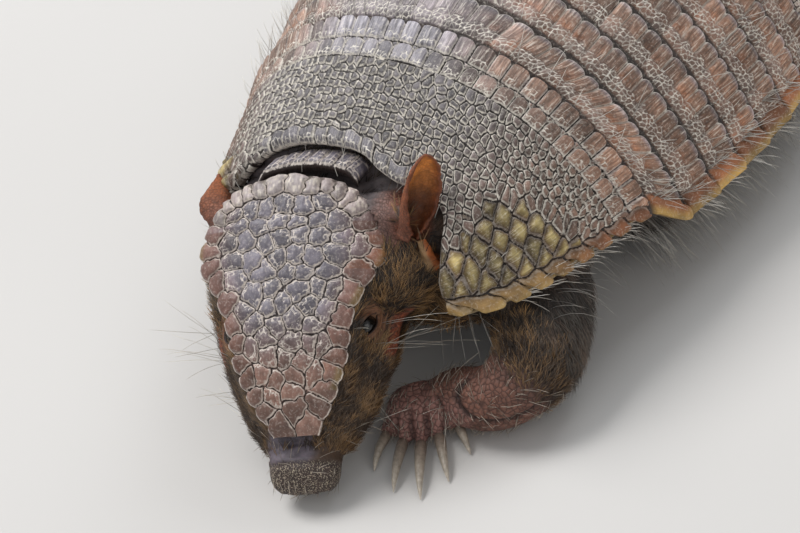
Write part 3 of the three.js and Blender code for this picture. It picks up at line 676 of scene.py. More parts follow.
def band(index):
    """A movable band: one row of long scutes, and one slanting scute at each end."""
    start = index * BAND_PITCH
    share, v = plate_grid(44, 600)
    reach = flank_length(start + 8, share)
    s = share * reach
    pitch = 6.5
    rear = BAND_PITCH - 0.35
    u = uneven(s[0], pitch, 0.5 * (index % 3))
    notch = 1.5 * off_middle(u) ** 3
    b = mix(-BAND_OVERLAP, rear - notch[None], v)
    wavy = lumps_over(s, b, 2.4, 9 * index)
    gap = b + 0.35 * wavy < 1.5
    # One row of long scutes whose front half breaks up into nodules.
    column = np.broadcast_to(np.floor(u).astype(int), s.shape)
    edge = np.minimum((1 - off_middle(u))[None] * pitch / 2 + 0.15, rear - notch[None] - b + 0.1)
    edge = np.minimum(edge, np.maximum(b - 1.5 + 0.3 * wavy, 0.1))
    front_half = (b + 1.7 * wavy + hash3(column, 0, index) < 7.3) & ~gap
    edge = np.where(front_half & (b < 6.2), np.maximum(edge, 0.7), edge)
    depth = np.abs(s) - (reach - 8.5)
    end = (depth > 0) & (b > 1.5)
    edge_e = np.minimum(np.minimum(depth, b - 1.5 + 0.3 * depth), rear - b + 0.3)
    cell = np.where(end, hash3(index, 3, np.sign(s).astype(int) + 2), cell_random(10 * index, column))
    tint = three_way(share, blend(LILAC, PINK_BROWN, 0.25), PINK_BROWN, RUSTY)
    patch = lumps_over(s * 0.6, b, 2.6, 31 * index)
    rusty = np.clip(0.9 * patch + 0.1, 0, 0.7) * smooth(-b, -12, -6) * smooth(np.abs(share), 0.08, 0.4)
    tint = blend(tint, ORANGE, rusty)
    tint = blend(tint, LILAC, 0.6 * smooth(b, rear - 3.0, rear - 0.8))
    tint = blend(tint, GREY_TOP, 0.5 * front_half * (0.6 + 0.4 * wavy))
    tint = put(tint, end, blend(ORANGE, rgb(176, 140, 74), smooth(depth, 3.5, 7.5)))
    tint = put(tint, gap & ~end, GAP_SKIN)
    edge = np.where(end, edge_e, np.where(gap, 0.6 + 0.5 * cell, edge))
    fine = np.where(front_half & ~end, grit(s, b, 1.7, 50 + index), FAR)
    height = with_nodules(relief(edge, 0.5, 0.6, 0.5, 1.6) + 0.25 * (cell - 0.5), fine, 0.22)
    height = np.where(gap, -1.35 + 0.18 * patch, height)
    height = height - 1.15 * (1 - smooth(b, 0.6, 4.0)) * ~gap + 0.9 * smooth(b, 6, 14)
    height = np.where(b < 0.6, LIP_DEPTH, height)
    blade = relief(edge_e, 0.9, 1.0, 0.9, 2.6) + 0.5 * smooth(b, 4, 14) + 0.7 * smooth(depth, 0, 5) * smooth(b, 7, 14)
    height = np.where(end & (b > 0.6), blade, height)
    # The layer `pale` sets how strongly the painted rim highlight shows, most towards the rear edge.
    layers = dict(tint=tint, edge=edge, cell=cell, fine=fine, across=s, lie=b,
                  ridge=np.where(end, 0.12, np.where(gap, 0.0, np.where(front_half, 0.3, 1.0))),
                  pale=np.where(gap, 0.1, np.where(end, 0.2, 0.45 + 0.55 * smooth(b, rear - 3.5, rear - 1.5))))
    name = f"band_{index + 1}"
    long = start + b + 2.6 * smooth(depth, 1, 7) * smooth(b, 4, 14)
    return plate_object("shell_" + name, long, share, height, layers, ARMOUR, name)


def pelvic_shield():
    """The plate over the hips, which the photo cuts off: rows of scutes as on the bands."""
    start = BAND_COUNT * BAND_PITCH
    share, v = plate_grid(136, 470)
    y = mix(start - BAND_OVERLAP + 0 * share, SHELL_REAR, v)
    b = y - start
    reach, reach_front = flank_length(y, share), flank_length(start + 8, share)
    s = share * reach_front * mix(1, (reach / reach_front), 0.5)
    # A row of small scutes in front of each row of large ones.
    layout = [(4.3, 2.1, 0.2), (6.4, 3.1, 0.9), (PELVIC_FIRST, 6.6, 1.6)]
    for k in range(1, PELVIC_ROWS):
        rear = PELVIC_FIRST + PELVIC_PITCH * k
        layout += [(rear - 6.0, 2.9, 0.5), (rear, 6.4, 1.6)]
    wavy = 0.4 * lumps_over(s, b, 2.6)
    edge, row, column = lay_rows(s + 0.4 * wavy, b + wavy, 2.5, layout)
    gap = b + wavy < 2.5
    scute = (row >= 2) & (row % 2 == 0)
    depth = np.abs(share) * reach - (reach - 7.5)
    edge_e, column_e = end_scutes(depth, y, 9.0, 0.4)
    outline = scalloped(share, reach, edge_e, depth, 1.8)
    edge_e = np.minimum(edge_e, np.minimum(depth, reach - np.abs(share) * reach + 0.8))
    end = (depth > 0) & (b > 1.5)
    gritty = scute & ~end & (edge + 0.7 * lumps_over(s, b, 2.2) < 1.2) & ~gap
    cell = np.where(end, cell_random(column_e, np.sign(s), 8), cell_random(row, column, 5))
    tint = three_way(share, blend(LILAC, PINK_BROWN, 0.4), PINK_BROWN, RUSTY)
    patch = lumps_over(s * 0.6, b, 4.0, 310)
    tint = blend(tint, ORANGE, np.clip(0.5 * patch, 0, 0.45) * smooth(np.abs(share), 0.1, 0.6))
    tint = put(tint, ~scute, blend(tint, GREY_TOP, 0.5))
    tint = put(tint, end, blend(ORANGE, rgb(176, 140, 74), smooth(depth, 4, 7)))
    tint = put(tint, gap & ~end, GAP_SKIN)
    edge = np.where(end, edge_e, np.where(gap, 0.5 + 0.5 * cell, np.minimum(edge, np.abs(depth) + 0.05)))
    fine = np.where(gritty, grit(s, b, 1.7, 77), FAR)
    height = relief(edge, 0.55, 0.75, np.where(end, 0.9, np.where(scute, 0.5, 0.25)), 1.8) + 0.2 * (cell - 0.5)
    height = with_nodules(height, fine, 0.2)
    height = np.where(gap, -1.35 + 0.18 * patch, height) - 1.15 * (1 - smooth(b, 1.2, 4.6)) * ~gap
    height = np.where(b < 0.6, LIP_DEPTH, height)
    height = np.where(end, height - 1.3 * (1 - smooth(edge_e, 0, 1.4)) * smooth(depth, 4, 7.5), height)
    height = height - 1.2 * smooth(y, SHELL_REAR - 2.2, SHELL_REAR)
    # The layer `pale` sets how strongly the painted rim highlight shows.
    layers = dict(tint=tint, edge=edge, cell=cell, fine=fine, across=s, lie=b,
                  ridge=np.where(end, 0.12, np.where(scute, 0.9, 0.2)),
                  pale=np.where(gap, 0.1, np.where(end, 0.2, np.where(scute, 0.6, 0.9))))
    return plate_object("shell_pelvic", y, outline, height, layers, ARMOUR, "pelvic_shield")


# ---- Flesh, as in the CAD source, with finer steps -----------------------------------------------

HEAD_CENTRE = np.array([1.9, -90.3, 59.8])
PITCH, YAW = math.radians(40), math.radians(21.5)
HEAD_AXES = np.array([
    [math.cos(YAW), -math.sin(YAW) * math.cos(PITCH), math.sin(YAW) * math.sin(PITCH)],
    [math.sin(YAW), math.cos(YAW) * math.cos(PITCH), -math.cos(YAW) * math.sin(PITCH)],
    [0, math.sin(PITCH), math.cos(PITCH)],
])


def from_head(points):
    return np.asarray(points, float) @ HEAD_AXES.T + HEAD_CENTRE


def to_head(points):
    return (np.asarray(points, float) - HEAD_CENTRE) @ HEAD_AXES


shield_half_width = curve([(-43, 7.6), (-33, 14), (-20, 19.2), (-7, 21.7), (2, 25.5), (15, 32.4), (31, 26.5),
                           (39, 18), (43, 4)])
cheek_half_width = curve([(-49, 13.2), (-38, 21), (-25, 27), (-10, 32), (6, 33.4), (20, 32.2), (28, 27), (35, 18)])
jaw_depth = curve([(-49, 27.5), (-38, 30.5), (-24, 34.5), (-8, 40), (8, 43), (22, 41), (35, 32)])
EYE_AT = np.array([20.9, -8.0, -18.0])
EYE_SURFACE = EYE_AT + [3, 0, 2.5]
EYE_RADIUS = 4.8
NOSTRIL = np.array([5.2, -60.2, -20.8])


def ridge(y):
    """Height of the head's middle line."""
    return -5 * (np.maximum(0, y - 10) / 33) ** 2 - 8 * (np.maximum(0, -y - 5) / 36) ** 1.6


def brow_height(x, y):
    """Height of the head's upper side, on which the shield lies."""
    return ridge(y) - 0.0098 * x * x


class Line:
    """A smooth line through stations, each (point, half width, half thickness)."""

    def __init__(self, stations):
        p = np.array([s[0] for s in stations], float)
        self.points = np.concatenate([[2 * p[0] - p[1]], p, [2 * p[-1] - p[-2]]])
        last = len(p) - 1
        self.wide = curve([(i / last, s[1]) for i, s in enumerate(stations)])
        self.thick = curve([(i / last, s[2]) for i, s in enumerate(stations)])
        self.count = last

    def at(self, t):
        t = np.clip(np.asarray(t, float), 0, 1) * self.count
        i = np.minimum(t.astype(int), self.count - 1)
        w = (t - i)[:, None]
        a, b, c, d = (self.points[i + k] for k in range(4))
        gap = [np.linalg.norm(q - p, axis=1)[:, None] ** 0.5 for p, q in ((a, b), (b, c), (c, d))]
        m1 = ((b - a) / gap[0] - (c - a) / (gap[0] + gap[1]) + (c - b) / gap[1]) * gap[1]
        m2 = ((c - b) / gap[1] - (d - b) / (gap[1] + gap[2]) + (d - c) / gap[2]) * gap[1]
        return b + m1 * w + (3 * (c - b) - 2 * m1 - m2) * w**2 + (2 * (b - c) + m1 + m2) * w**3

    def heading(self, t):
        return unit(self.at(np.minimum(t + 1e-3, 1)) - self.at(np.maximum(t - 1e-3, 0)))


def loft(rings):
    """Points and triangles of a closed skin over rings with the same number of points."""
    n, m = len(rings), len(rings[0])
    points = np.concatenate([np.concatenate(rings), [rings[0].mean(0)], [rings[-1].mean(0)]])
    r, k = np.meshgrid(np.arange(n - 1), np.arange(m), indexing="ij")
    a, b = (r * m + k).ravel(), (r * m + (k + 1) % m).ravel()
    k = np.arange(m)
    faces = np.concatenate([
        np.stack([a, b, b + m], 1), np.stack([a, b + m, a + m], 1),
        np.stack([(k + 1) % m, k, np.full(m, n * m)], 1),
        np.stack([(n - 1) * m + k, (n - 1) * m + (k + 1) % m, np.full(m, n * m + 1)], 1),
    ])
    p = points[faces]
    if np.einsum("ij,ij->i", p[:, 0], np.cross(p[:, 1], p[:, 2])).sum() < 0:
        faces = faces[:, ::-1]
    return points, faces


def limb(stations, across=(1, 0, 0), rings=40, sides=28, blunt=0.62):
    """A closed skin round a line of stations. It is widest along `across`, and blunt is how wide its ends are."""
    line = Line(stations)
    t = np.linspace(0, 1, rings)
    forward = line.heading(t)
    across = np.asarray(across, float)
    side = unit(across - forward * (forward @ across)[:, None])
    up = np.cross(forward, side)
    end = np.minimum(t, 1 - t)
    shrink = mix(blunt, 1, np.sqrt(np.clip(end / 0.09, 0, 1)))
    turn = np.linspace(0, 2 * math.pi, sides, endpoint=False)
    centre = line.at(t)
    out = [centre[i] + np.outer(np.cos(turn) * line.wide(t[i]) * shrink[i], side[i])
           + np.outer(np.sin(turn) * line.thick(t[i]) * shrink[i], up[i]) for i in range(rings)]
    return loft(out)


def trunk():
    over = np.linspace(0, math.pi, 90)
    under = np.linspace(0, math.pi, 50)[1:-1]

    def ring(y, share):
        slack = (1.6 if y > 130 else 1) * 3.4 * (1 if y > 170 else np.cos(over) ** 4)
        at = (y * (front_edge(np.abs(np.cos(over))) + 4)) / -60 if y < 0 else np.full(over.shape, y)
        top = back_point(at, over) - back_normal(at, over) * (3.7 + slack + np.zeros(over.shape))[:, None]
        left, right = top[0], top[-1]
        middle = mix(-58, 172, share)
        belly = 13 + 14 * ((middle - 50) / 115) ** 4
        deep = np.sin(under) ** 0.85
        x = mix(right[0], left[0], (1 - np.cos(under)) / 2) * (1 - 0.1 * deep)
        return np.concatenate([top, np.stack([x, mix(left[1], middle, deep), mix(left[2], belly, deep)], 1)])

    rings = [ring(y, (y + 60) / 240) for y in np.linspace(-60, 180, 70)]
    for _ in range(4):
        rings.insert(0, mix(rings[0], np.array([4, -54, 46]), 0.16))
        rings.append(mix(rings[-1], np.array([0, 187, 46]), 0.2))
    return loft(rings)


def head_flesh():
    """The head without its shield, nose and ears, ring by ring from the snout back."""

    def half(y):
        shield = shield_half_width(np.clip(y, -43, 41))
        cheek = cheek_half_width(y)
        floor = -jaw_depth(y)
        inner = min(shield - 0.6, cheek * 0.9)
        socket = 2.4 * math.exp(-(((y + 8) / 6) ** 2))
        lateral = max(inner, mix(shield, cheek, 0.35) - socket)
        under = 3.1
        return np.array([
            [0, ridge(y) - under], [inner * 0.5, brow_height(inner * 0.5, y) - under],
            [inner, brow_height(inner, y) - under],
            [mix(inner, lateral, 0.75), brow_height(inner, y) - under - 3.2], [lateral, -16], [cheek, -24],
            [cheek * 0.88, mix(-26, floor, 0.6)], [cheek * 0.5, floor + 2], [0, floor],
        ])

    rings = []
    for y in np.linspace(-47.1, 35, 70):
        left = half(y)
        outline = np.concatenate([left, left[-2:0:-1] * [-1, 1]])
        n = len(outline)
        s = np.linspace(0, n, 96, endpoint=False)
        i, w = s.astype(int), (s % 1)[:, None]
        a, b, c, d = (outline[(i + k) % n] for k in (-1, 0, 1, 2))
        m1, m2 = (c - a) / 2, (d - b) / 2
        xz = b + m1 * w + (3 * (c - b) - 2 * m1 - m2) * w**2 + (2 * (b - c) + m1 + m2) * w**3
        shrink = mix(0.8, 1, math.sqrt(max(0, min(1, (35 - y) / 8))))
        rings.append(np.stack([xz[:, 0] * shrink, np.full(96, y), mix(-20, xz[:, 1], shrink)], 1))
    points, faces = loft(rings)
    return from_head(points), faces


TAIL = [((0, 170, 50), 13.5, 12.5), ((0, 190, 44), 12, 11.5), ((-2, 214, 27), 9.5, 9), ((-5, 240, 10.5), 7.2, 6.8),
        ((-7, 266, 4.6), 5.2, 5), ((-7, 290, 2.2), 2.6, 2.4)]
NECK = [((3, -34, 52), 40, 21), ((1, -48, 51), 41, 21), ((0, -61, 47), 36, 19), ((-1, -72, 44), 29, 16)]
NOSE = [((0, -48.5, -19), 12.6, 8.6), ((0, -53, -19.6), 12.0, 8.2), ((0, -57, -20.2), 11.4, 7.4),
        ((0, -60.4, -20.6), 8.4, 5.2)]
LEFT_FORE = [((46, -22, 50), 18, 15), ((59, -36, 33), 18, 13.5), ((66, -58, 20), 15, 14), ((58, -70, 13.5), 11.5, 10.5),
             ((36, -68, 10), 9.5, 8)]
RIGHT_FORE = [((42, -8, 50), 18, 15), ((51, -14, 34), 17, 15), ((54, -24, 21), 14, 13), ((43, -35, 15), 11.5, 11),
              ((30, -41, 10.5), 9.5, 8)]
HIND = [((46, 132, 52), 24, 17), ((60, 116, 36), 23, 16.5), ((66, 108, 24), 17, 13), ((62, 126, 14.5), 9.5, 9),
        ((60, 138, 10), 8, 7.5)]
EAR_ROOTS = ([((25, 26, -15), 9, 8.6), ((33, 25.5, -11.5), 8.4, 7.8), ((40, 22, -7.4), 5.4, 5.2)],
             [((17, 27, -20), 8.5, 8.5), ((23.4, 28, -21.5), 7, 7), ((27.3, 29.1, -22.2), 4.8, 4.6)])
# The forearm bends in front of the wrist, and this fills the bend.
LEFT_WRIST = [((66, -56, 16), 12.5, 11), ((60, -66, 13), 11.5, 10.5), ((47, -70.5, 11), 10, 9.4),
              ((34, -71, 9), 9.4, 8)]
# The warty lobe in front of the left ear's opening, in the head's frame.
EAR_LOBE = [((35.5, 24.5, -7.5), 6, 6), ((38.8, 23.4, -4.2), 4, 4), ((40.2, 20.4, -2.6), 3.2, 3.2)]
# The row of warts on the cheek, in the head's frame.
CHEEK_WARTS = (33.6, -4, -22), (28.9, -17.7, -22)
# Two folds of bare skin between the left ear and the armour.
FOLDS = [[np.array(q, float) for q in route] for route in (
    ((34, -58.6, 65.8), (37.5, -60.2, 60.9), (38.5, -59.5, 52.9)),
    ((37.2, -56.5, 65.9), (39.6, -58.7, 60.4), (40.4, -57.7, 53.4)),
)]
SKIN_VOXEL = 0.0016  # m: the size of the skin's squares before the head and paw are made finer
# Palm, then where the toes start, their length and radius, how far apart they stand and how far they fan out in
# degrees, the claws' lengths and the width of a claw.
FORE_FOOT = {
    "palm": [((0, 4, 8), 10, 7.4), ((0, -4, 6.6), 12.5, 7.4), ((0, -12, 5.2), 12, 5.6)],
    "start": -10, "length": 8.5, "radius": 3.1, "spread": 5.4, "fan": 9, "claws": (13, 19, 22, 18, 12), "claw": 1.95,
}
HIND_FOOT = {
    "palm": [((0, 16, 7), 7.5, 7.6), ((0, 0, 5.6), 9.2, 6.2), ((0, -18, 4.6), 11.5, 5.2)],
    "start": -16, "length": 9, "radius": 3, "spread": 4.9, "fan": 8, "claws": (8, 11, 12, 11, 8), "claw": 2,
}
# Each foot with its step: place on the ground, degrees that it turns out, and side.
FEET = (
    ("fore", "left", FORE_FOOT, ((28.7, -72.5), 29, 1)),
    ("fore", "right", FORE_FOOT, ((29, -46), 8, -1)),
    ("hind", "left", HIND_FOOT, ((61, 126), 12, 1)),
    ("hind", "right", HIND_FOOT, ((61, 126), 12, -1)),
)


def place_foot(points, step):
    """Points of a foot, which heads for -Y at the origin, moved to where it stands."""
    (x, y), yaw, side = step
    c, s = math.cos(math.radians(yaw)), math.sin(math.radians(yaw))
    p = np.asarray(points, float) @ np.array([[c, s, 0], [-s, c, 0], [0, 0, 1]]) + [x, y, 0]
    return p * [side, 1, 1]


def toe_line(foot, index):
    """Start, heading and end of a toe in the foot's own frame, counted from 0 on the inner side."""
    share = index - 2
    angle = math.radians(share * foot["fan"])
    start = np.array([share * foot["spread"] * 0.9, foot["start"] + 1.4 * share * share, foot["radius"] + 0.7])
    heading = np.array([math.sin(angle), -math.cos(angle), 0])
    return start, heading, start + heading * (foot["length"] - 0.6 * abs(share))


def facing_out(faces, side):
    """The faces of a part that was mirrored to the right (side -1), turned round again."""
    return faces if side > 0 else faces[:, ::-1]


def flipped(part):
    points, faces = part
    return points * [-1, 1, 1], faces[:, ::-1]


def on_floor(points):
    """Points with everything under the floor pressed up to it."""
    points[:, 2] = np.maximum(points[:, 2], 0)
    return points


def foot_parts(foot, step):
    parts = [limb(foot["palm"], rings=24)]
    for index in range(5):
        start, _, end = toe_line(foot, index)
        r = foot["radius"]
        middle = mix(start, end, 0.6) + [0, 0, 0.7]
        parts.append(limb([(start, r, r), (middle, r, r), (end, r * 0.82, r * 0.86)], rings=18, sides=16, blunt=0.5))
    return [(on_floor(place_foot(points, step)), facing_out(faces, step[2])) for points, faces in parts]


def joined(parts):
    points, faces, first = [], [], 0
    for p, f in parts:
        points.append(p)
        faces.append(f + first)
        first += len(p)
    return np.concatenate(points), np.concatenate(faces)


def mesh_arrays(mesh):
    co = np.empty(len(mesh.vertices) * 3, np.float32)
    mesh.vertices.foreach_get("co", co)
    no = np.empty(len(mesh.vertices) * 3, np.float32)
    mesh.vertices.foreach_get("normal", no)
    return co.reshape(-1, 3).astype(float) * 1000 - SHIFT, no.reshape(-1, 3).astype(float)


def set_points(mesh, points):
    mesh.vertices.foreach_set("co", world(points).astype(np.float32).ravel())
    mesh.update()


def under_shell(p, slack=0.0):
    """True where a point lies well inside the armour over the back, so that nobody sees it."""
    x, y, z = p.T
    inside = np.abs(x - np.where(y < 0, 0.0016 * y * y, 0)) < half_width(np.minimum(y, 180)) - 5
    front = front_edge(np.abs(x) / np.maximum(half_width(y), 1))
    return inside & (z > margin_height(y) + 9 + slack) & (y > front + 9) & (y < SHELL_REAR - 9)


def relax(bm, times, factor):
    for _ in range(times):
        bmesh.ops.smooth_vert(bm, verts=bm.verts, factor=factor, use_axis_x=True, use_axis_y=True, use_axis_z=True)


def vertex_places(bm):
    return np.array([v.co for v in bm.verts]) * 1000 - SHIFT


def flesh():
    """One skin over head, neck, trunk, legs, feet and tail, remeshed so that no seam shows."""
    parts = [trunk(), head_flesh(), limb(NECK), limb(TAIL, rings=90)]
    nose_points, nose_faces = limb(NOSE, rings=20, blunt=0.9)
    parts.append((from_head(nose_points), nose_faces))
    parts += [limb(LEFT_FORE, (0, 1, 0.3)), flipped(limb(RIGHT_FORE, (0, 1, 0.3)))]
    parts += [limb(HIND, (0, 1, 0.3)), flipped(limb(HIND, (0, 1, 0.3)))]
    for _, _, foot, step in FEET:
        parts += foot_parts(foot, step)
    parts.append(limb(LEFT_WRIST, (0, 1, 0.3)))
    for sign, stations in ((1, EAR_ROOTS[0]), (-1, EAR_ROOTS[1])):
        points, faces = limb(stations, (0, 1, 0), rings=24, sides=24, blunt=0.7)
        parts.append((from_head(points * [sign, 1, 1]), facing_out(faces, sign)))
    lobe, faces = limb(EAR_LOBE, (0, 1, 0), rings=24, sides=24)
    parts.append((from_head(lobe), faces))
    for route, thick in zip(FOLDS, (2.3, 2.0)):
        parts.append(limb([(q, thick * k, thick * k) for q, k in zip(route, (0.75, 1, 0.7))], rings=24, sides=16))
    points, faces = joined(parts)
    skin = new_mesh("skin", on_floor(points), faces)
    mod = skin.modifiers.new("remesh", "REMESH")
    mod.mode = "VOXEL"
    mod.voxel_size = SKIN_VOXEL
    depsgraph = bpy.context.evaluated_depsgraph_get()
    mesh = bpy.data.meshes.new_from_object(skin.evaluated_get(depsgraph))
    skin.modifiers.clear()
    skin.data = mesh
    bm = bmesh.new()
    bm.from_mesh(mesh)
    relax(bm, 4, 0.5)
    place = vertex_places(bm)
    hx, hy, hz = to_head(place).T
    beneath = (hz > brow_height(hx, hy) - 5) & (hy < 38) & (hy > -40) & (np.abs(hx) < shield_half_width(hy) - 3)
    unseen = under_shell(place) | beneath
    bmesh.ops.delete(bm, geom=[v for v, h in zip(bm.verts, unseen) if h], context="VERTS")
    # Smaller triangles on the head and the left fore paw, which the photo shows from near by.
    place = vertex_places(bm)
    fine = (to_head(place)[:, 1] < 38) & (place[:, 1] < -52) & (place[:, 2] > 2)
    fine |= (place[:, 2] < 17) & (place[:, 1] < -40) & (np.abs(place[:, 0]) < 60)
    marked = set(np.nonzero(fine)[0].tolist())
    edges = [e for e in bm.edges if e.verts[0].index in marked and e.verts[1].index in marked]
    bmesh.ops.subdivide_edges(bm, edges=edges, cuts=1, use_grid_fill=True)
    relax(bm, 2, 0.4)
    bm.to_mesh(mesh)
    bm.free()
    mesh.polygons.foreach_set("use_smooth", np.ones(len(mesh.polygons), bool))
    mesh.update()
    return skin


# ---- Head shield and neck band -------------------------------------------------------------------


NODULE_RIM = 1.75  # mm: how wide the ring of nodules round a scute of the head is
FIELD_SCUTE, REAR_SCUTE, SIDE_SCUTE = range(3)


def nodules(points, primary_edge, pitch, seed):
    """Small nodules round the rim of each scute: distance to the nearest line between them."""
    rim = primary_edge < NODULE_RIM
    fine = np.full(len(points), FAR)
    fine[rim], _ = cells(points[rim], seed_grid(points[:, 0], points[:, 1], pitch, seed))
    return np.minimum(fine, np.abs(primary_edge - NODULE_RIM) + 0.02 * (primary_edge > NODULE_RIM)), rim


def head_shield():
    """The head shield. Each scute of the field has a ring of nodules round it."""
    n, m = 206, 152
    y = np.linspace(-43.2, 43.2, n)[:, None]
    share = np.linspace(-1, 1, m)[None]
    width = shield_half_width(np.clip(y, -43, 43))
    # Scutes along the outline, then a loose field inside it.
    outline = np.array([(shield_half_width(v), v) for v in np.linspace(-43, 43, 400)]).reshape(-1, 2)
    travelled = np.concatenate([[0], np.cumsum(np.linalg.norm(np.diff(outline, axis=0), axis=1))])
    seeds, kinds = [], []
    at = 2.0
    while at < travelled[-1]:
        px, py = (np.interp(at, travelled, outline[:, k]) for k in (0, 1))
        ahead = [np.interp(at + 1, travelled, outline[:, k]) for k in (0, 1)]
        tangent = unit(np.array(ahead) - [px, py])
        inward = np.array([-tangent[1], tangent[0]])
        deep = 3.0 if py > 27 else 3.5
        for sign in (1, -1):
            jitter = rng.uniform(-0.3, 0.3, 2)
            seeds.append(((px + inward[0] * deep) * sign + jitter[0], py + inward[1] * deep + jitter[1]))
            kinds.append(REAR_SCUTE if py > 27 else SIDE_SCUTE)
        at += 4.7 if py > 27 else (7.4 if py > -12 else 6.0)
    edge_seeds = np.array(seeds)
    for k, py in enumerate(np.arange(36, -42, -5.6)):
        step = 6.6 if py > -15 else 5.9
        for px in np.arange(-36, 36, step):
            p = np.array([px + 0.5 * step * (k % 2), py]) + rng.uniform(-1.9, 1.9, 2)
            if abs(p[0]) > shield_half_width(np.clip(p[1], -43, 43)) - 5.2:
                continue
            if np.linalg.norm(edge_seeds - p, axis=1).min() > 4.3 and rng.uniform() > 0.08:
                seeds.append(tuple(p))
                kinds.append(FIELD_SCUTE)
    x = share * width
    fx, fy = x.ravel(), (y + 0 * x).ravel()
    flat = np.stack([fx, fy], 1)
    wobble = np.stack([lumps_over(fx, fy, 1.7, 3), lumps_over(fx, fy, 1.7, 60)], 1)
    edge, cell = cells(flat + 0.7 * wobble, seeds)
    border = (width - np.abs(x)).ravel()
    fine, rim = nodules(flat + 0.2 * wobble, edge, 1.95, 5)
    kind = np.array(kinds)[cell]
    at_rear, at_side = kind == REAR_SCUTE, kind == SIDE_SCUTE
    plain = at_side | ((fy < -22) & (hash3(cell, 0, 2) < 0.5))
    middle = edge + 0.8 * lumps_over(fx, fy, 2.6, 8) > 1.55
    fine = np.where(plain | at_rear | middle, FAR, fine)
    random = hash3(cell, 1, 4)
    top, sides, front = rgb(108, 103, 111), rgb(130, 104, 100), rgb(124, 94, 82)
    tint = blend(top, sides, smooth(np.abs(fx) / width.repeat(m, 1).ravel(), 0.45, 0.95))
    tint = blend(tint, front, smooth(-fy, 2, 26))
    tint = put(tint, at_rear, blend(tint, rgb(168, 156, 153), 0.75))
    # Pale cream patches on the rear scutes of the head: a painted highlight.
    cream_highlight = smooth(lumps_over(fx * 1.6, fy * 0.7, 0.9, 5), -0.1, 0.5)
    tint = put(tint, at_rear, blend(tint, rgb(206, 196, 182), 0.75 * cream_highlight))
    tint = put(tint, at_side & (fy > -24) & (fy < 24), blend(tint, rgb(122, 84, 68), 0.6))
    tip = at_side & (random > 0.45) & (fy > -30)
    tint = put(tint, tip, blend(tint, OLIVE, 0.7 * smooth(-border, -3.2, -0.8)))
    tint = put(tint, at_side & (fy < 19) & (fy > 8) & (fx > 0), blend(tint, ORANGE, 0.35))
    ring = np.where(fine < FAR - 0.5, 0.22 * smooth(fine, 0.0, 0.5), 0.28)
    height = relief(edge, 1.0, 0.8, 0.2, 1.6) + ring + np.where(rim, 0, 0.18 * smooth(edge, 1.8, 2.6))
    height += 0.35 * (random - 0.5) + np.where(kind != FIELD_SCUTE, 0.35 * smooth(edge, 0, 2.2), 0)
    height += 0.14 * lumps_over(fx, fy * 0.5, 0.9) * smooth(edge, 0.3, 1.0)
    height -= 1.5 * (1 - smooth(border, 0, 1.3)) + 0.3 * (1 - smooth(edge, 0, 1)) * (1 - smooth(border, 0, 4))
    notch = 1.1 * (1 - smooth(edge, 0, 2.2)) * (1 - smooth(border, 0, 3.5))
    px = fx - np.sign(fx) * notch
    py = np.where(fy > 20, mix(20, fy, 0.9), fy)
    pz = brow_height(px, py) + height - 1.4 * smooth(np.abs(fy), 40, 43.2)
    # The underside has fewer points, on every sixth column.
    top_points = np.stack([px, py, pz], 1).reshape(n, m, 3)
    under = top_points[:, ::6] * [0.97, 0.985, 1] - [0, 0, 2.5]
    k = under.shape[1]
    points = np.concatenate([top_points.reshape(-1, 3), under.reshape(-1, 3)])
    faces = [grid_faces(n, m), grid_faces(n, k, n * m)[:, ::-1]]
    rims = []
    for side, low in ((0, 0), (m - 1, k - 1)):
        a = np.arange(n - 1) * m + side
        b = n * m + np.arange(n - 1) * k + low
        quad = np.stack([a, a + m, b + k, b], 1)
        rims.append(quad if side == 0 else quad[:, ::-1])
    # The layer `pale` sets how strongly the painted rim highlight shows.
    layers = dict(tint=tint, edge=np.minimum(edge, border + 0.25), cell=0.12 + 0.76 * random, fine=fine,
                  across=fx, lie=fy, ridge=np.where(at_rear, 0.35, 0.12), pale=np.where(at_rear, 0.8, 1.0))
    pick = (np.arange(n)[:, None] * m + np.arange(m)[None, ::6]).ravel()
    # The underside copies the layers, with half the tint as painted shade under the shield.
    layers = {key: np.concatenate([v, v[pick] * (0.5 if key == "tint" else 1)]) for key, v in layers.items()}
    caps = [np.concatenate([np.arange(m), n * m + np.arange(k)[::-1]])[None],
            np.concatenate([(n - 1) * m + np.arange(m)[::-1], n * m + (n - 1) * k + np.arange(k)])[None]]
    obj = new_mesh("shell_head", from_head(points), faces + rims + caps, layers)
    return finish_piece(obj, HEAD_ARMOUR, "head_armour", "head_shield")


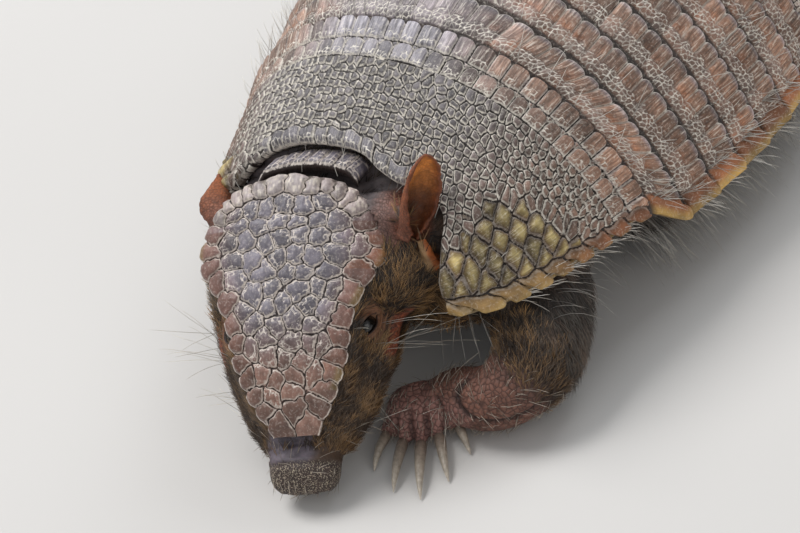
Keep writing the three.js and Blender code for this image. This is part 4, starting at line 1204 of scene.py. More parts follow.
def neck_band():
    """The short row of scutes between the head shield and the scapular shield."""
    n, m = 26, 120
    share = np.linspace(-1, 1, m)[None]
    back = np.linspace(-2.9, 5.2, n)[:, None]
    middle = 1.15  # mm behind the line of the band: the middle of its width
    x = -10 + share * 19.5 + 0 * back
    y = -46.0 - 0.0055 * (x + 2) ** 2 + 1.15 * back
    z = 81.8 - 5 * (x / 26) ** 2 - 0.1 * back
    s, b = x.ravel(), (back + 0 * x).ravel()
    pos = np.stack([s, b], 1)
    off = np.abs(b - middle)
    seeds = [(-30 + 5.6 * k + rng.uniform(-0.4, 0.4), 1.1 + rng.uniform(-0.3, 0.3)) for k in range(9)]
    edge, cell = cells(pos + 0.3 * lumps(np.c_[pos, s], 1.5)[:, None], seeds)
    edge = np.minimum(edge, 3.9 - off)
    fine, _ = nodules(pos, edge, 1.7, 9)
    height = relief(edge, 0.8, 0.8, 0.5, 1.8) + 0.2 * smooth(fine, 0, 0.4) - 1.0
    lip = np.maximum(0, np.abs(share) - 0.86) / 0.14 * 3 + np.maximum(0, np.abs(back - middle) - 3.5) * 1.2
    top = np.stack([x, y, z - lip + height.reshape(x.shape)], -1)
    points = np.concatenate([top.reshape(-1, 3), (top - [0, 0, 2.2]).reshape(-1, 3)])
    loop = np.concatenate([np.arange(m), np.arange(1, n) * m + m - 1, (n - 1) * m + np.arange(m - 1)[::-1],
                           (np.arange(1, n - 1) * m)[::-1]])
    after = np.roll(loop, -1)
    wall = np.stack([loop, loop + n * m, after + n * m, after], 1)
    tint = blend(rgb(106, 101, 112), rgb(84, 77, 78), smooth(off, 2.2, 3.9))
    # The layer `pale` sets how strongly the painted rim highlight shows.
    layers = dict(tint=tint, edge=edge, cell=0.3 + 0.5 * hash3(cell, 6, 1), fine=fine, across=s, lie=b,
                  ridge=0.5 * smooth(b, -1, 1), pale=0.8 + 0 * s)
    layers = {key: np.concatenate([v, v]) for key, v in layers.items()}
    obj = new_mesh("shell_neck", points, [grid_faces(n, m), grid_faces(n, m, n * m)[:, ::-1], wall], layers)
    return finish_piece(obj, HEAD_ARMOUR, "armour", "neck_band")


# ---- Colours and texture of the skin -------------------------------------------------------------

FORE_LINES = [Line(LEFT_FORE), Line([((-p[0], p[1], p[2]), w, t) for p, w, t in RIGHT_FORE])]
TAIL_CURVE = Line(TAIL)


def near_line(points, line, samples=40):
    """For each point: distance to the line, and how far along it the nearest place lies."""
    t = np.linspace(0, 1, samples)
    path = line.at(t)
    distance = np.linalg.norm(points[:, None] - path[None], axis=2)
    nearest = distance.argmin(1)
    return distance[np.arange(len(points)), nearest], t[nearest]


def segment(points, a, b):
    a, b = np.asarray(a, float), np.asarray(b, float)
    t = np.clip((points - a) @ (b - a) / ((b - a) @ (b - a)), 0, 1)
    return np.linalg.norm(points - (a + t[:, None] * (b - a)), axis=1)


SKIN_LAYERS = ("tint", "warty", "scaly", "pad")  # those that the skin's material reads


def skin_layers(p):
    """Markings of skin and coat at points in the body's frame."""
    h = to_head(p)
    side = mirrored(h)
    sx, sy, sz = side.T
    x, y, z = p.T
    flank = lumps(p, 14.0)
    tint = rgb(62, 48, 40)
    warty = np.full(len(p), 0.15)
    scaly = np.zeros(len(p))

    def paint(colour, weight):
        nonlocal tint
        tint = blend(tint, np.asarray(colour), np.clip(weight, 0, 1))

    belly = smooth(-z, -34, -18) * smooth(y, -50, -20)
    paint(rgb(112, 88, 78), belly)
    in_head = smooth(-sy, -34, -22) * smooth(-y, 40, 58)
    paint(rgb(66, 48, 36), in_head)
    snout = smooth(-sy, 8, 34) * in_head
    paint(rgb(70, 50, 34), 0.7 * snout)
    jaw = smooth(-sz, 26, 36) * in_head
    paint(rgb(80, 60, 50), 0.6 * jaw)
    eye = np.linalg.norm(side - EYE_SURFACE, axis=1)
    paint(rgb(122, 86, 60), 0.9 * (1 - smooth(eye, 5.5, 11)))
    wart = segment(side, *CHEEK_WARTS)
    paint(rgb(130, 72, 48), 1 - smooth(wart, 2.2, 4.4))
    warty = np.maximum(warty, 1 - smooth(wart, 2.6, 4.6))
    off_bridge = smooth(np.abs(h[:, 0] + 3.5) + 1.2 * lumps(p, 2.0), 6.0, 11.0)
    top = smooth(-sy, 40.5, 42.5) * (1 - off_bridge) * smooth(sz, -21, -17)
    paint(rgb(86, 78, 86) * (1 + 0.35 * lumps(p * [1, 1, 2.5], 1.4))[:, None], top)
    pad = smooth(-sy, 50, 52)
    paint(rgb(56, 43, 39), pad)
    paint(rgb(90, 72, 70), smooth(-sy, 48, 50) * smooth(-sz, 21, 26))
    nape = smooth(z, 58, 66) * (y < -36) * smooth(h[:, 1], 22, 30)
    paint(rgb(92, 84, 85), nape)
    ear = np.linalg.norm((side - [35.0, 24.5, -12.5]) / [9.5, 10, 9.5], axis=1)
    round_ear = blend(rgb(118, 94, 88), rgb(128, 76, 54), smooth(sx, 31, 39))
    paint(round_ear, 1 - smooth(ear, 0.95, 1.3))
    warty = np.maximum(warty, 1 - smooth(ear, 0.95, 1.25))
    folds = np.zeros(len(p))
    for route, colour in zip(FOLDS, (rgb(152, 120, 84), rgb(172, 94, 44))):
        from_fold = np.minimum(segment(p, route[0], route[1]), segment(p, route[1], route[2]))
        on_fold = 1 - smooth(from_fold, 1.9, 3.1)
        paint(colour, on_fold)
        folds = np.maximum(folds, on_fold)
    for line in FORE_LINES:
        distance, t = near_line(p, line)
        arm = (1 - smooth(distance, 18, 22))
        paint(rgb(38, 30, 25), arm * smooth(t, 0.05, 0.3))
        paint(rgb(106, 74, 62), arm * smooth(t, 0.52, 0.68))
        scaly = np.maximum(scaly, arm * smooth(t, 0.5, 0.65))
    paw = smooth(-z, -18, -13) * smooth(y, -98, -94) * (y < 0) * (1 - smooth(np.abs(x), 50, 58))
    paint(rgb(136, 102, 95), paw)
    scaly = np.maximum(scaly, paw)
    hind = smooth(-z, -18, -12) * smooth(y, 88, 96) * smooth(np.abs(x), 40, 46) * (1 - smooth(y, 150, 156))
    paint(rgb(132, 98, 86), hind)
    scaly = np.maximum(scaly, hind)
    distance, t = near_line(p, TAIL_CURVE)
    tail = (1 - smooth(distance, 14, 17)) * smooth(t, 0.12, 0.2)
    rings = 0.5 + 0.5 * np.sin(t * 150)
    paint(blend(rgb(96, 78, 66), rgb(132, 100, 76), rings), tail)
    scaly = np.maximum(scaly, 0.8 * tail)
    mouth_at = -26.2 - 0.2 * (sy + 50) + 0.003 * (sy + 50) ** 2
    mouth = np.exp(-((sz - mouth_at) / 0.75) ** 2) * smooth(-sy, 22, 27) * (sy > -60)
    mouth = mouth * (y < -60)
    # The mouth's line, which is also sunk, painted dark: painted shade in its crease.
    paint(rgb(46, 30, 27), mouth)
    tint = tint * (1 + 0.12 * flank)[:, None]
    return {"tint": tint, "warty": warty, "scaly": scaly, "pad": pad * (y < -60), "mouth": mouth, "tail": tail,
            "bald": np.maximum(np.maximum(folds, top), nape * (y < -40))}


def skin_material():
    """Wrinkled skin. The layers say where it is warty or scaly, and where sand sticks to the nose pad."""
    n = Nodes("skin")
    tint = n.attribute("tint", "Color")
    place = n.place()
    grain = n.noise(1500, 4, 0.65)

    def scales(size):
        inputs = {"Vector": place, "Scale": 1 / size}
        edge = n.add("ShaderNodeTexVoronoi", inputs, feature="DISTANCE_TO_EDGE").outputs["Distance"]
        return n.ramp(edge, [(0.0, 0.0), (0.11, 0.7), (0.35, 1.0)])

    warts = scales(0.0012)
    plates = scales(0.0019)
    wrinkle = n.noise(420, 5, 0.7)
    sand = n.ramp(n.noise(2100, 3, 0.7), [(0.54, 0.0), (0.6, 1.0)])
    colour = n.vary(tint, n.noise(160, 4, 0.6), [(0.25, 0.7), (0.75, 1.3)])
    # Darker where the wrinkles sink and lighter where they rise: painted shade and light on the wrinkles.
    colour = n.vary(colour, wrinkle, [(0.3, 0.72), (0.62, 1.15)])
    # Shaded and lit copies of the colour: the warts and scales are dark in the grooves between them as painted shade
    # and lighter over their tops as a painted highlight.
    dark = n.mix(1.0, colour, (0.5, 0.44, 0.42), "MULTIPLY")
    light = n.mix(1.0, colour, (1.25, 1.15, 1.1), "MULTIPLY")
    warty = n.attribute("warty")
    scaly = n.attribute("scaly")
    colour = n.mix(warty, colour, n.mix(warts, dark, light))
    colour = n.mix(scaly, colour, n.mix(plates, dark, light))
    colour = n.mix(n.times(sand, n.times(n.attribute("pad"), 0.9)), colour, (0.5, 0.42, 0.31))
    height = n.maths("ADD", n.times(wrinkle, 0.8), n.times(grain, 0.2))
    height = n.maths("ADD", height, n.times(n.times(warts, warty), 0.9))
    height = n.maths("ADD", height, n.times(n.times(plates, scaly), 1.2))
    height = n.maths("ADD", height, n.times(n.times(sand, n.attribute("pad")), 0.4))
    rough = n.ramp(grain, [(0.3, 0.5), (0.7, 0.78)])
    return n.finish(colour, rough, height, 0.55, 0.0006, Subsurface_Weight=0.04, Subsurface_Scale=0.002)


def ear_points(ear, t, share, wall):
    """A point of the ear: t along it, share across its curl, wall 0 outside to 1 inside."""
    up = unit(np.array(ear["axis"], float))
    facing = np.array(ear["opening"], float)
    facing = unit(facing - up * (facing @ up))
    side = np.cross(up, facing)
    curl = curve([(0, 2.6), (0.3, 1.85), (0.6, 1.3), (0.85, 1.05), (1, 0.95)])(t)
    radius = ear["radius"](t)
    flare = (radius - 3.8) * 0.9 + 2 * t * t
    reach = np.maximum(0.4, radius - wall)
    angle = share * curl
    ahead = flare - np.cos(angle) * reach
    return (np.array(ear["base"]) + (t * ear["length"])[..., None] * up + ahead[..., None] * facing
            + (np.sin(angle) * reach)[..., None] * side)


# In the head's frame, the right ear as if it were a left one.
LEFT_EAR = {"base": (40.3, 19.6, -6.2), "axis": (0.42, 0.73, 0.62), "opening": (0.79, -0.2, 0.58), "length": 26.8,
            "radius": curve([(0, 3.9), (0.3, 6.0), (0.6, 7.4), (0.78, 7.0), (0.9, 5.5), (0.97, 3.4), (1, 1.5)])}
RIGHT_EAR = {"base": (27.0, 28.8, -22), "axis": (0.314, 0.8, -0.504), "opening": (0.8, -0.1, -0.6), "length": 26.0,
             "radius": curve([(0, 3.7), (0.25, 5.8), (0.45, 7.2), (0.65, 5.6), (0.82, 3.2), (0.94, 1.4), (1, 0.6)])}


def ear_mesh(ear, sign):
    rows, cols = 54, 40
    t = np.concatenate([np.linspace(-0.1, 0, 5)[:-1], 1 - (1 - np.linspace(0, 1, rows - 4)) ** 1.5])[:, None]
    share = np.linspace(-1, 1, cols)[None]
    ragged = 1 + 0.035 * np.sin(t * 23 + 1) + 0.02 * np.sin(t * 61)
    outer = ear_points(ear, t + 0 * share, share * ragged + 0 * t, 0.0 * t)
    inner = ear_points(ear, t + 0 * share, share * 0.985 * ragged + 0 * t, 1.3 - 0.45 * np.clip(t, 0, 1))
    rim_a = (outer[:, -1:] + inner[:, -1:]) / 2 + 0.4 * unit(outer[:, -1:] - outer[:, -2:-1])
    rim_b = (outer[:, :1] + inner[:, :1]) / 2 + 0.4 * unit(outer[:, :1] - outer[:, 1:2])
    ring = np.concatenate([outer, rim_a, inner[:, ::-1], rim_b], 1)
    n, m = ring.shape[:2]
    is_out = np.broadcast_to(np.arange(m) < cols, (n, m))
    points, faces = loft(list(ring))
    normals = np.zeros_like(points)
    corner = points[faces]
    face_normal = np.cross(corner[:, 1] - corner[:, 0], corner[:, 2] - corner[:, 0])
    for k in range(3):
        np.add.at(normals, faces[:, k], face_normal)
    grain = 0.28 * lumps(points, 1.1) + 0.35 * lumps(points, 3.3)
    points = points + unit(normals) * (grain * 0.6)[:, None]
    tt = np.concatenate([np.broadcast_to(t, (n, m)).ravel(), [0, 1]])
    out = np.concatenate([is_out.ravel(), [True, True]])
    round_ring = np.concatenate([share[0], [1.0], share[0, ::-1], [-1.0]])
    share_all = np.concatenate([np.tile(round_ring, n), [0, 0]])
    outside = blend(rgb(112, 70, 52), rgb(140, 80, 42), smooth(tt, 0.1, 0.7))
    inside = blend(rgb(88, 48, 22), rgb(186, 116, 50), smooth(tt, 0.3, 0.85))
    inside = blend(inside, rgb(124, 66, 30), smooth(np.abs(share_all), 0.55, 1.0) * 0.8)
    tint = np.where(out[:, None], outside, inside)
    rim = smooth(np.abs(share_all), 0.9, 1.0) + smooth(tt, 0.93, 1)
    tint = blend(tint, rgb(110, 60, 36), 0.7 * np.clip(rim, 0, 1))
    tint = tint * (1 + 0.22 * lumps(points, 1.6))[:, None]
    layers = {"tint": tint, "warty": np.where(out, 0.8, 0.35), "scaly": 0 * tt, "pad": 0 * tt}
    points = from_head(points * [sign, 1, 1])
    return points, facing_out(faces, sign), layers


def eye_frame(sign):
    normal = unit(np.array([0.62, -0.12, 0.77]))
    along = np.array([0.47, 0.79, -0.39])
    along = unit(along - normal * (along @ normal))
    return [v * [sign, 1, 1] for v in (EYE_AT, normal, along, unit(np.cross(normal, along)))]


def lid_mesh(sign, tree):
    """Lids and the folds round them, from the almond opening out to the cheek."""
    centre, normal, along, up = eye_frame(sign)
    rows, cols = 44, 112
    u = np.linspace(0, 1, rows)[:, None]
    turn = np.linspace(0, 2 * math.pi, cols, endpoint=False)[None]
    c, s = np.cos(turn), np.sin(turn)
    upper = np.sin(turn) > 0
    # The almond opening, 9 mm long, and from it out to a circle of 11 mm.
    out, over = 4.5 * c, np.where(upper, 2.15, 1.9) * s * np.abs(s) ** 0.25
    rim = np.sqrt(out**2 + over**2)
    angle = np.arctan2(over, out)
    radius = mix(rim, 11.0, u**1.15)
    ball = np.sqrt(np.maximum(0.4, EYE_RADIUS**2 - np.minimum(radius, 4.3) ** 2)) - 2.8
    far = smooth(radius, 2.6, 7.4)
    gap = radius - rim
    folds = 0.42 * np.sin(gap * 3.6 + 0.5 * np.sin(turn * 3) + 0.6)
    folds = folds * smooth(gap, 0.5, 1.6) * (1 - smooth(radius, 7.5, 10.6))
    thick = np.where(upper, 0.95, 0.75)
    height = mix(np.maximum(ball, -0.2) + thick, 0.25 + 0 * ball, far) + folds
    height = height - 0.75 * (1 - smooth(u, 0, 0.045))
    height = height + np.where(upper, 0.55, 0.2) * np.exp(-((gap - 1.6) / 1.2) ** 2)
    height = height - 0.5 * smooth(u, 0.82, 1.0)
    corner = np.exp(-((np.abs(c) - 1) / 0.08) ** 2) * (1 - smooth(gap, 0, 2.2))
    height = height - 0.7 * corner
    flat = centre + radius[..., None] * (np.cos(angle)[..., None] * along + np.sin(angle)[..., None] * up)
    flat = flat.reshape(-1, 3)
    base = np.empty_like(flat)
    for k, p in enumerate(flat):
        start = world(from_head(p + normal * 12))
        hit = tree.ray_cast(Vector(start), Vector(-(HEAD_AXES @ normal)))
        found = hit[0] is not None and (np.linalg.norm(np.array(hit[0]) * 1000 - start * 1000) < 20)
        base[k] = to_head(np.array(hit[0]) * 1000 - SHIFT) if found else p + normal * 2.8
    near = (1 - smooth(radius, 4.5, 8)).ravel()[:, None]
    plane = flat + normal * 2.8
    base = mix(base, plane, near)
    gap = gap.ravel()
    ripple = 0.16 * lumps(flat, 1.0) * smooth(gap, 0.6, 1.5)
    points = base + normal * (height.ravel() + ripple)[:, None]
    r, k = (a.ravel() for a in np.meshgrid(np.arange(rows - 1), np.arange(cols), indexing="ij"))
    start, after = r * cols + k, r * cols + (k + 1) % cols
    faces = np.stack([start, after, after + cols, start + cols], 1)
    body = from_head(points)
    layers = skin_layers(body)
    above = (np.sin(turn) > -0.3).repeat(rows, 0).ravel()
    layers["tint"] = blend(layers["tint"], rgb(132, 92, 68), 0.6 * (1 - smooth(gap, 3.0, 6)) * above)
    # Darkest at the lid margin and in the sunk corners of the eye, and darker in the troughs of the folds: painted
    # shade in these creases.
    layers["tint"] = blend(layers["tint"], rgb(52, 38, 34), np.maximum(1 - smooth(gap, 0.1, 0.75), corner.ravel()))
    layers["tint"] = blend(layers["tint"], rgb(70, 46, 32), 0.5 * smooth(-folds.ravel(), 0.1, 0.35))
    layers["warty"] = np.maximum(layers["warty"], 0.35 * (1 - smooth(gap, 2, 5)))
    if sign < 0:
        faces = faces[:, ::-1]
    centre_normal = np.cross(body[faces[:, 1]] - body[faces[:, 0]], body[faces[:, 2]] - body[faces[:, 0]]).mean(0)
    if centre_normal @ (HEAD_AXES @ normal) < 0:
        faces = faces[:, ::-1]
    return body, faces, {key: layers[key] for key in SKIN_LAYERS}


def dress_skin(skin):
    """Finer forms on the skin, the ears and lids joined to it, and its markings."""
    mesh = skin.data
    points, normals = mesh_arrays(mesh)
    h = to_head(points)
    side = mirrored(h)
    _, sy, sz = side.T
    _, y, z = points.T
    layers = skin_layers(points)
    forward = y < -60
    move = -1.1 * layers["mouth"]
    nostril = np.linalg.norm((side - NOSTRIL) * [1, 0.6, 1.15], axis=1)
    move -= 3.0 * (1 - smooth(nostril, 0.6, 3.0)) * forward
    # The sunk nostrils painted near black: painted shade inside them.
    layers["tint"] = blend(layers["tint"], rgb(30, 20, 20), (1 - smooth(nostril, 1.4, 2.8)) * forward)
    move -= 0.8 * np.exp(-((sy + 51.6) / 0.8) ** 2) * smooth(sz, -19, -16) * forward
    muzzle = smooth(-sy, 43, 46) * (1 - smooth(-sy, 50.5, 52)) * smooth(sz, -22, -17)
    move += 0.35 * lumps(h * [1, 1.8, 1], 2.0) * muzzle * forward
    neck = smooth(-y, 20, 30) * (1 - smooth(-sy, -34, -24)) * smooth(z, 30, 50)
    move += 0.7 * np.sin(sy * 1.7 + 0.6 * lumps(points, 9)) * neck
    move += layers["warty"] * 0.3 * lumps(points, 1.0) * (y < -40)
    # Furrows between the toes, sunk and painted darker: painted shade in the furrows.
    for _, _, foot, ((at_x, at_y), yaw, sign) in FEET:
        c, s = math.cos(math.radians(yaw)), math.sin(math.radians(yaw))
        local = (points[:, :2] * [sign, 1] - [at_x, at_y]) @ np.array([[c, -s], [s, c]])
        ahead = foot["start"] - local[:, 1]
        place = np.abs(local[:, 0]) / (0.9 * foot["spread"] + math.sin(math.radians(foot["fan"])) * ahead)
        between = np.exp(-(((place % 1) - 0.5) * foot["spread"] / 0.95) ** 2) * (place < 2)
        near = smooth(ahead, -3, 3) * (1 - smooth(ahead, 9, 12)) * (np.abs(local[:, 0]) < 15) * (z < 18)
        move -= 1.5 * between * near
        layers["tint"] = blend(layers["tint"], rgb(60, 40, 36), 0.7 * between * near)
    # Where fur covers it, the skin lies a little deeper.
    covered = smooth(z, 14, 22) * (1 - layers["scaly"])
    move -= np.where(z < 0.6, 0, mix(0.2, 1.1, covered) * (sy > -46))
    move += 0.25 * lumps(points, 5.0) * smooth(z, 2, 6)
    ring = layers["tail"] * 0.45 * np.sin(near_line(points, TAIL_CURVE, 160)[1] * 150)
    move += ring * smooth(z, 0.5, 2)
    points = on_floor(points + normals * move[:, None])
    set_points(mesh, points)
    tree = BVHTree.FromPolygons([Vector(v) for v in world(points)], [tuple(p.vertices) for p in mesh.polygons])
    extra = [ear_mesh(LEFT_EAR, 1), ear_mesh(RIGHT_EAR, -1), lid_mesh(1, tree), lid_mesh(-1, tree)]
    counts = np.array([p.loop_total for p in mesh.polygons])
    loops = np.empty(len(mesh.loops), np.int32)
    mesh.loops.foreach_get("vertex_index", loops)
    starts = np.concatenate([[0], np.cumsum(counts)[:-1]])
    faces = [np.stack([loops[starts[counts == k] + j] for j in range(k)], 1) for k in np.unique(counts)]
    first = len(points)
    for p, f, _ in extra:
        faces.append(f + first)
        first += len(p)
    whole = {key: np.concatenate([layers[key], *(more[key] for _, _, more in extra)]) for key in SKIN_LAYERS}
    whole = new_mesh("skin_whole", np.concatenate([points, *(p for p, _, _ in extra)]), faces, whole)
    bpy.data.objects.remove(skin)
    whole.name = "skin"
    flesh_nodes = ["head", "neck", "nose", "trunk", "tail_base", "tail_middle", "tail_tip"]
    pairs = ("ear", "fore_leg", "hind_leg", "forefoot", "hindfoot")
    flesh_nodes += [f"{part}_{s}" for part in pairs for s in ("left", "right")]
    return finish_piece(whole, skin_material(), "hide", *flesh_nodes), tree, len(points)


def eyes():
    """Dark eyes with a slightly raised cornea."""
    n = Nodes("eye")
    place = n.attribute("facing")
    colour = n.ramp(place, [(0.0, (0.02, 0.012, 0.008)), (0.55, (0.022, 0.012, 0.007)), (0.66, (0.05, 0.026, 0.013)),
                            (0.8, (0.018, 0.01, 0.006)), (0.86, (0.004, 0.003, 0.003)), (1.0, (0.003, 0.003, 0.003))])
    colour = n.mix(n.ramp(n.noise(2500, 3), [(0.4, 0.0), (0.8, 0.3)]), colour, (0.03, 0.02, 0.014))
    material = n.finish(colour, 0.2, Coat_Weight=0.25, Coat_Roughness=0.06)
    for sign, name in ((1, "left"), (-1, "right")):
        centre, normal, along, up = eye_frame(sign)
        rise = np.cos(np.linspace(0.02, math.pi - 0.02, 40))
        turn = np.linspace(0, 2 * math.pi, 56, endpoint=False)
        rings = []
        for k in rise:
            w = math.sqrt(1 - k * k)
            bulge = EYE_RADIUS + 0.35 * math.exp(-((w / 0.45) ** 2)) * (k > 0) - 0.35
            ring = np.cos(turn)[:, None] * along + np.sin(turn)[:, None] * up
            rings.append(centre + bulge * (k * normal + w * ring))
        points, faces = loft(rings)
        facing = unit(points - centre) @ normal
        obj = new_mesh(f"eyeball_{name}", from_head(points), faces, {"facing": facing})
        finish_piece(obj, material, "eye", f"eye_{name}")


def claws():
    """Five claws on each foot, one piece for each foot."""
    n = Nodes("claw_horn")
    along = n.attribute("along")
    colour = n.ramp(along, [(0.0, (0.13, 0.085, 0.065)), (0.25, (0.24, 0.19, 0.15)), (0.75, (0.36, 0.31, 0.25)),
                            (1.0, (0.5, 0.44, 0.36))])
    colour = n.vary(colour, n.noise(700, 4, 0.6), [(0.3, 0.68), (0.7, 1.2)])
    drawn_out = n.add("ShaderNodeMapping", {"Vector": n.place(), "Scale": (2400, 260, 2400)}).outputs[0]
    lines = n.add("ShaderNodeTexNoise", {"Vector": drawn_out, "Scale": 1.0}).outputs["Fac"]
    material = n.finish(colour, 0.42, lines, 0.4, 0.0003)
    for kind, name, foot, step in FEET:
        parts, along_all = [], []
        for index in range(5):
            _, heading, end = toe_line(foot, index)
            length = foot["claws"][index]
            radius = foot["claw"] * (0.75 + length / 88)
            base = end - heading * 1.2
            drop = 0.45 - end[2]
            stations = [
                (base + [0, 0, 0.3], radius * 0.9, radius * 0.95),
                (end + heading * 1.2 + [0, 0, 0.35], radius, radius * 1.05),
                (end + heading * (0.5 * length) + [0, 0, 0.9 + drop * 0.2], radius * 0.8, radius * 0.8),
                (end + heading * (0.82 * length) + [0, 0, 0.75 + drop * 0.62], radius * 0.45, radius * 0.5),
                (end + heading * length + [0, 0, drop + 0.25], 0.22, 0.22),
            ]
            points, faces = limb(stations, rings=30, sides=18, blunt=0.6)
            along_all.append(np.clip(((points - base) @ heading) / (length + 1), 0, 1))
            parts.append((on_floor(place_foot(points, step)), facing_out(faces, step[2])))
        points, faces = joined(parts)
        obj = new_mesh(f"claws_{kind}_{name}", points, faces, {"along": np.concatenate(along_all)})
        finish_piece(obj, material, "horn", *[f"claw_{kind}_{name}_{i}" for i in range(1, 6)])


scapular_shield()
for i in range(BAND_COUNT):
    band(i)
pelvic_shield()
# The head's scutes, with their own groove colour and the pale colour of their painted rim highlight.
HEAD_ARMOUR = armour_material("head_scutes", tuple(rgb(40, 26, 23)), tuple(rgb(228, 217, 206)), 0.46)
head_shield()
neck_band()
SKIN, SKIN_TREE, SKIN_COUNT = dress_skin(flesh())
eyes()
claws()


# ---- Coat: thin tapered strips and bristles of solid mesh ----------------------------------------


def hair_material(name, gloss):
    """Hair that is dark at the root, and pale at the tip as far as the layer `frost` says."""
    n = Nodes(name)
    along = n.attribute("along")
    colour = n.vary(n.attribute("tint", "Color"), along, [(0.0, 0.42), (0.35, 0.85), (1.0, 1.35)])
    pale_tip = n.times(n.ramp(along, [(0.55, 0.0), (1.0, 1.0)]), n.attribute("frost"))
    colour = n.mix(pale_tip, colour, (0.62, 0.56, 0.46))
    colour = n.vary(colour, n.noise(300, 3), [(0.3, 0.75), (0.7, 1.2)])
    return n.finish(colour, gloss)


DOWN = np.array([0, 0, -1.0])
ARM_REACH = 21  # mm from the middle of a foreleg: the hair nearer than this lies along the leg


class Surface:
    """The skin as triangles, to root hairs in."""

    def __init__(self, obj, limit):
        mesh = obj.data
        mesh.calc_loop_triangles()
        tri = np.empty(len(mesh.loop_triangles) * 3, np.int32)
        mesh.loop_triangles.foreach_get("vertices", tri)
        tri = tri.reshape(-1, 3)
        self.points, self.normals = mesh_arrays(mesh)
        self.tri = tri[(tri < limit).all(1)]
        corner = self.points[self.tri]
        self.centre = corner.mean(1)
        self.area = np.linalg.norm(np.cross(corner[:, 1] - corner[:, 0], corner[:, 2] - corner[:, 0]), axis=1) / 2
        self.normal = unit(np.cross(corner[:, 1] - corner[:, 0], corner[:, 2] - corner[:, 0]))

    def scatter(self, count, density):
        weight = self.area * np.maximum(density, 0)
        pick = rng.choice(len(weight), count, p=weight / weight.sum())
        r1, r2 = np.sqrt(rng.uniform(size=count)), rng.uniform(size=count)
        share = np.stack([1 - r1, r1 * (1 - r2), r1 * r2], 1)
        at = np.einsum("ij,ijk->ik", share, self.points[self.tri[pick]])
        normal = unit(np.einsum("ij,ijk->ik", share, self.normals[self.tri[pick]]))
        return at, normal


def unwrap(p):
    """A place for each root on a flat map of the skin: head, trunk, legs and tail side by side."""
    h = to_head(p)
    uv = np.empty((len(p), 2))
    angle = np.arctan2(p[:, 0], 60 - p[:, 2]) / (2 * math.pi) + 0.5
    uv[:] = np.stack([0.02 + 0.96 * angle, 0.02 + 0.42 * (p[:, 1] + 75) / 265], 1)
    head = (h[:, 1] < 34) & (p[:, 1] < -58)
    turn = np.arctan2(h[:, 0], -20 - h[:, 2]) / (2 * math.pi) + 0.5
    uv[head] = np.stack([0.02 + 0.55 * turn, 0.48 + 0.26 * (h[:, 1] + 62) / 98], 1)[head]
    tail = near_line(p, TAIL_CURVE)
    is_tail = (tail[0] < 15) & (tail[1] > 0.12)
    around = np.arctan2(p[:, 0] + 4, p[:, 2] - TAIL_CURVE.at(tail[1])[:, 2]) / (2 * math.pi) + 0.5
    uv[is_tail] = np.stack([0.6 + 0.16 * around, 0.48 + 0.26 * tail[1]], 1)[is_tail]
    # Each leg: its box on the ground as (left, right, front, rear) and where its map starts.
    for (x0, x1, y0, y1), u0 in (((30, 90, -95, 5), 0.02), ((-90, -30, -95, 5), 0.26),
                                 ((30, 90, 90, 150), 0.5), ((-90, -30, 90, 150), 0.74)):
        inside = (p[:, 0] > x0) & (p[:, 0] < x1) & (p[:, 1] > y0) & (p[:, 1] < y1)
        inside &= (p[:, 2] < 32) & ~head & ~is_tail
        around = np.arctan2(p[:, 0] - (x0 + x1) / 2, p[:, 1] - (y0 + y1) / 2) / (2 * math.pi) + 0.5
        uv[inside] = np.stack([u0 + 0.22 * around, 0.76 + 0.21 * p[:, 2] / 34], 1)[inside]
    return np.clip(uv, 0.003, 0.997)


def along_surface(direction, normal):
    """The direction, one for all or one for each normal, laid flat on the surface."""
    direction = direction + 0 * normal
    return unit(direction - normal * np.einsum("ij,ij->i", direction, normal)[:, None])


def between(low, high, count):
    """A colour for each of so many hairs, at random between two."""
    return blend(rgb(*low), rgb(*high), rng.uniform(0, 1, count))


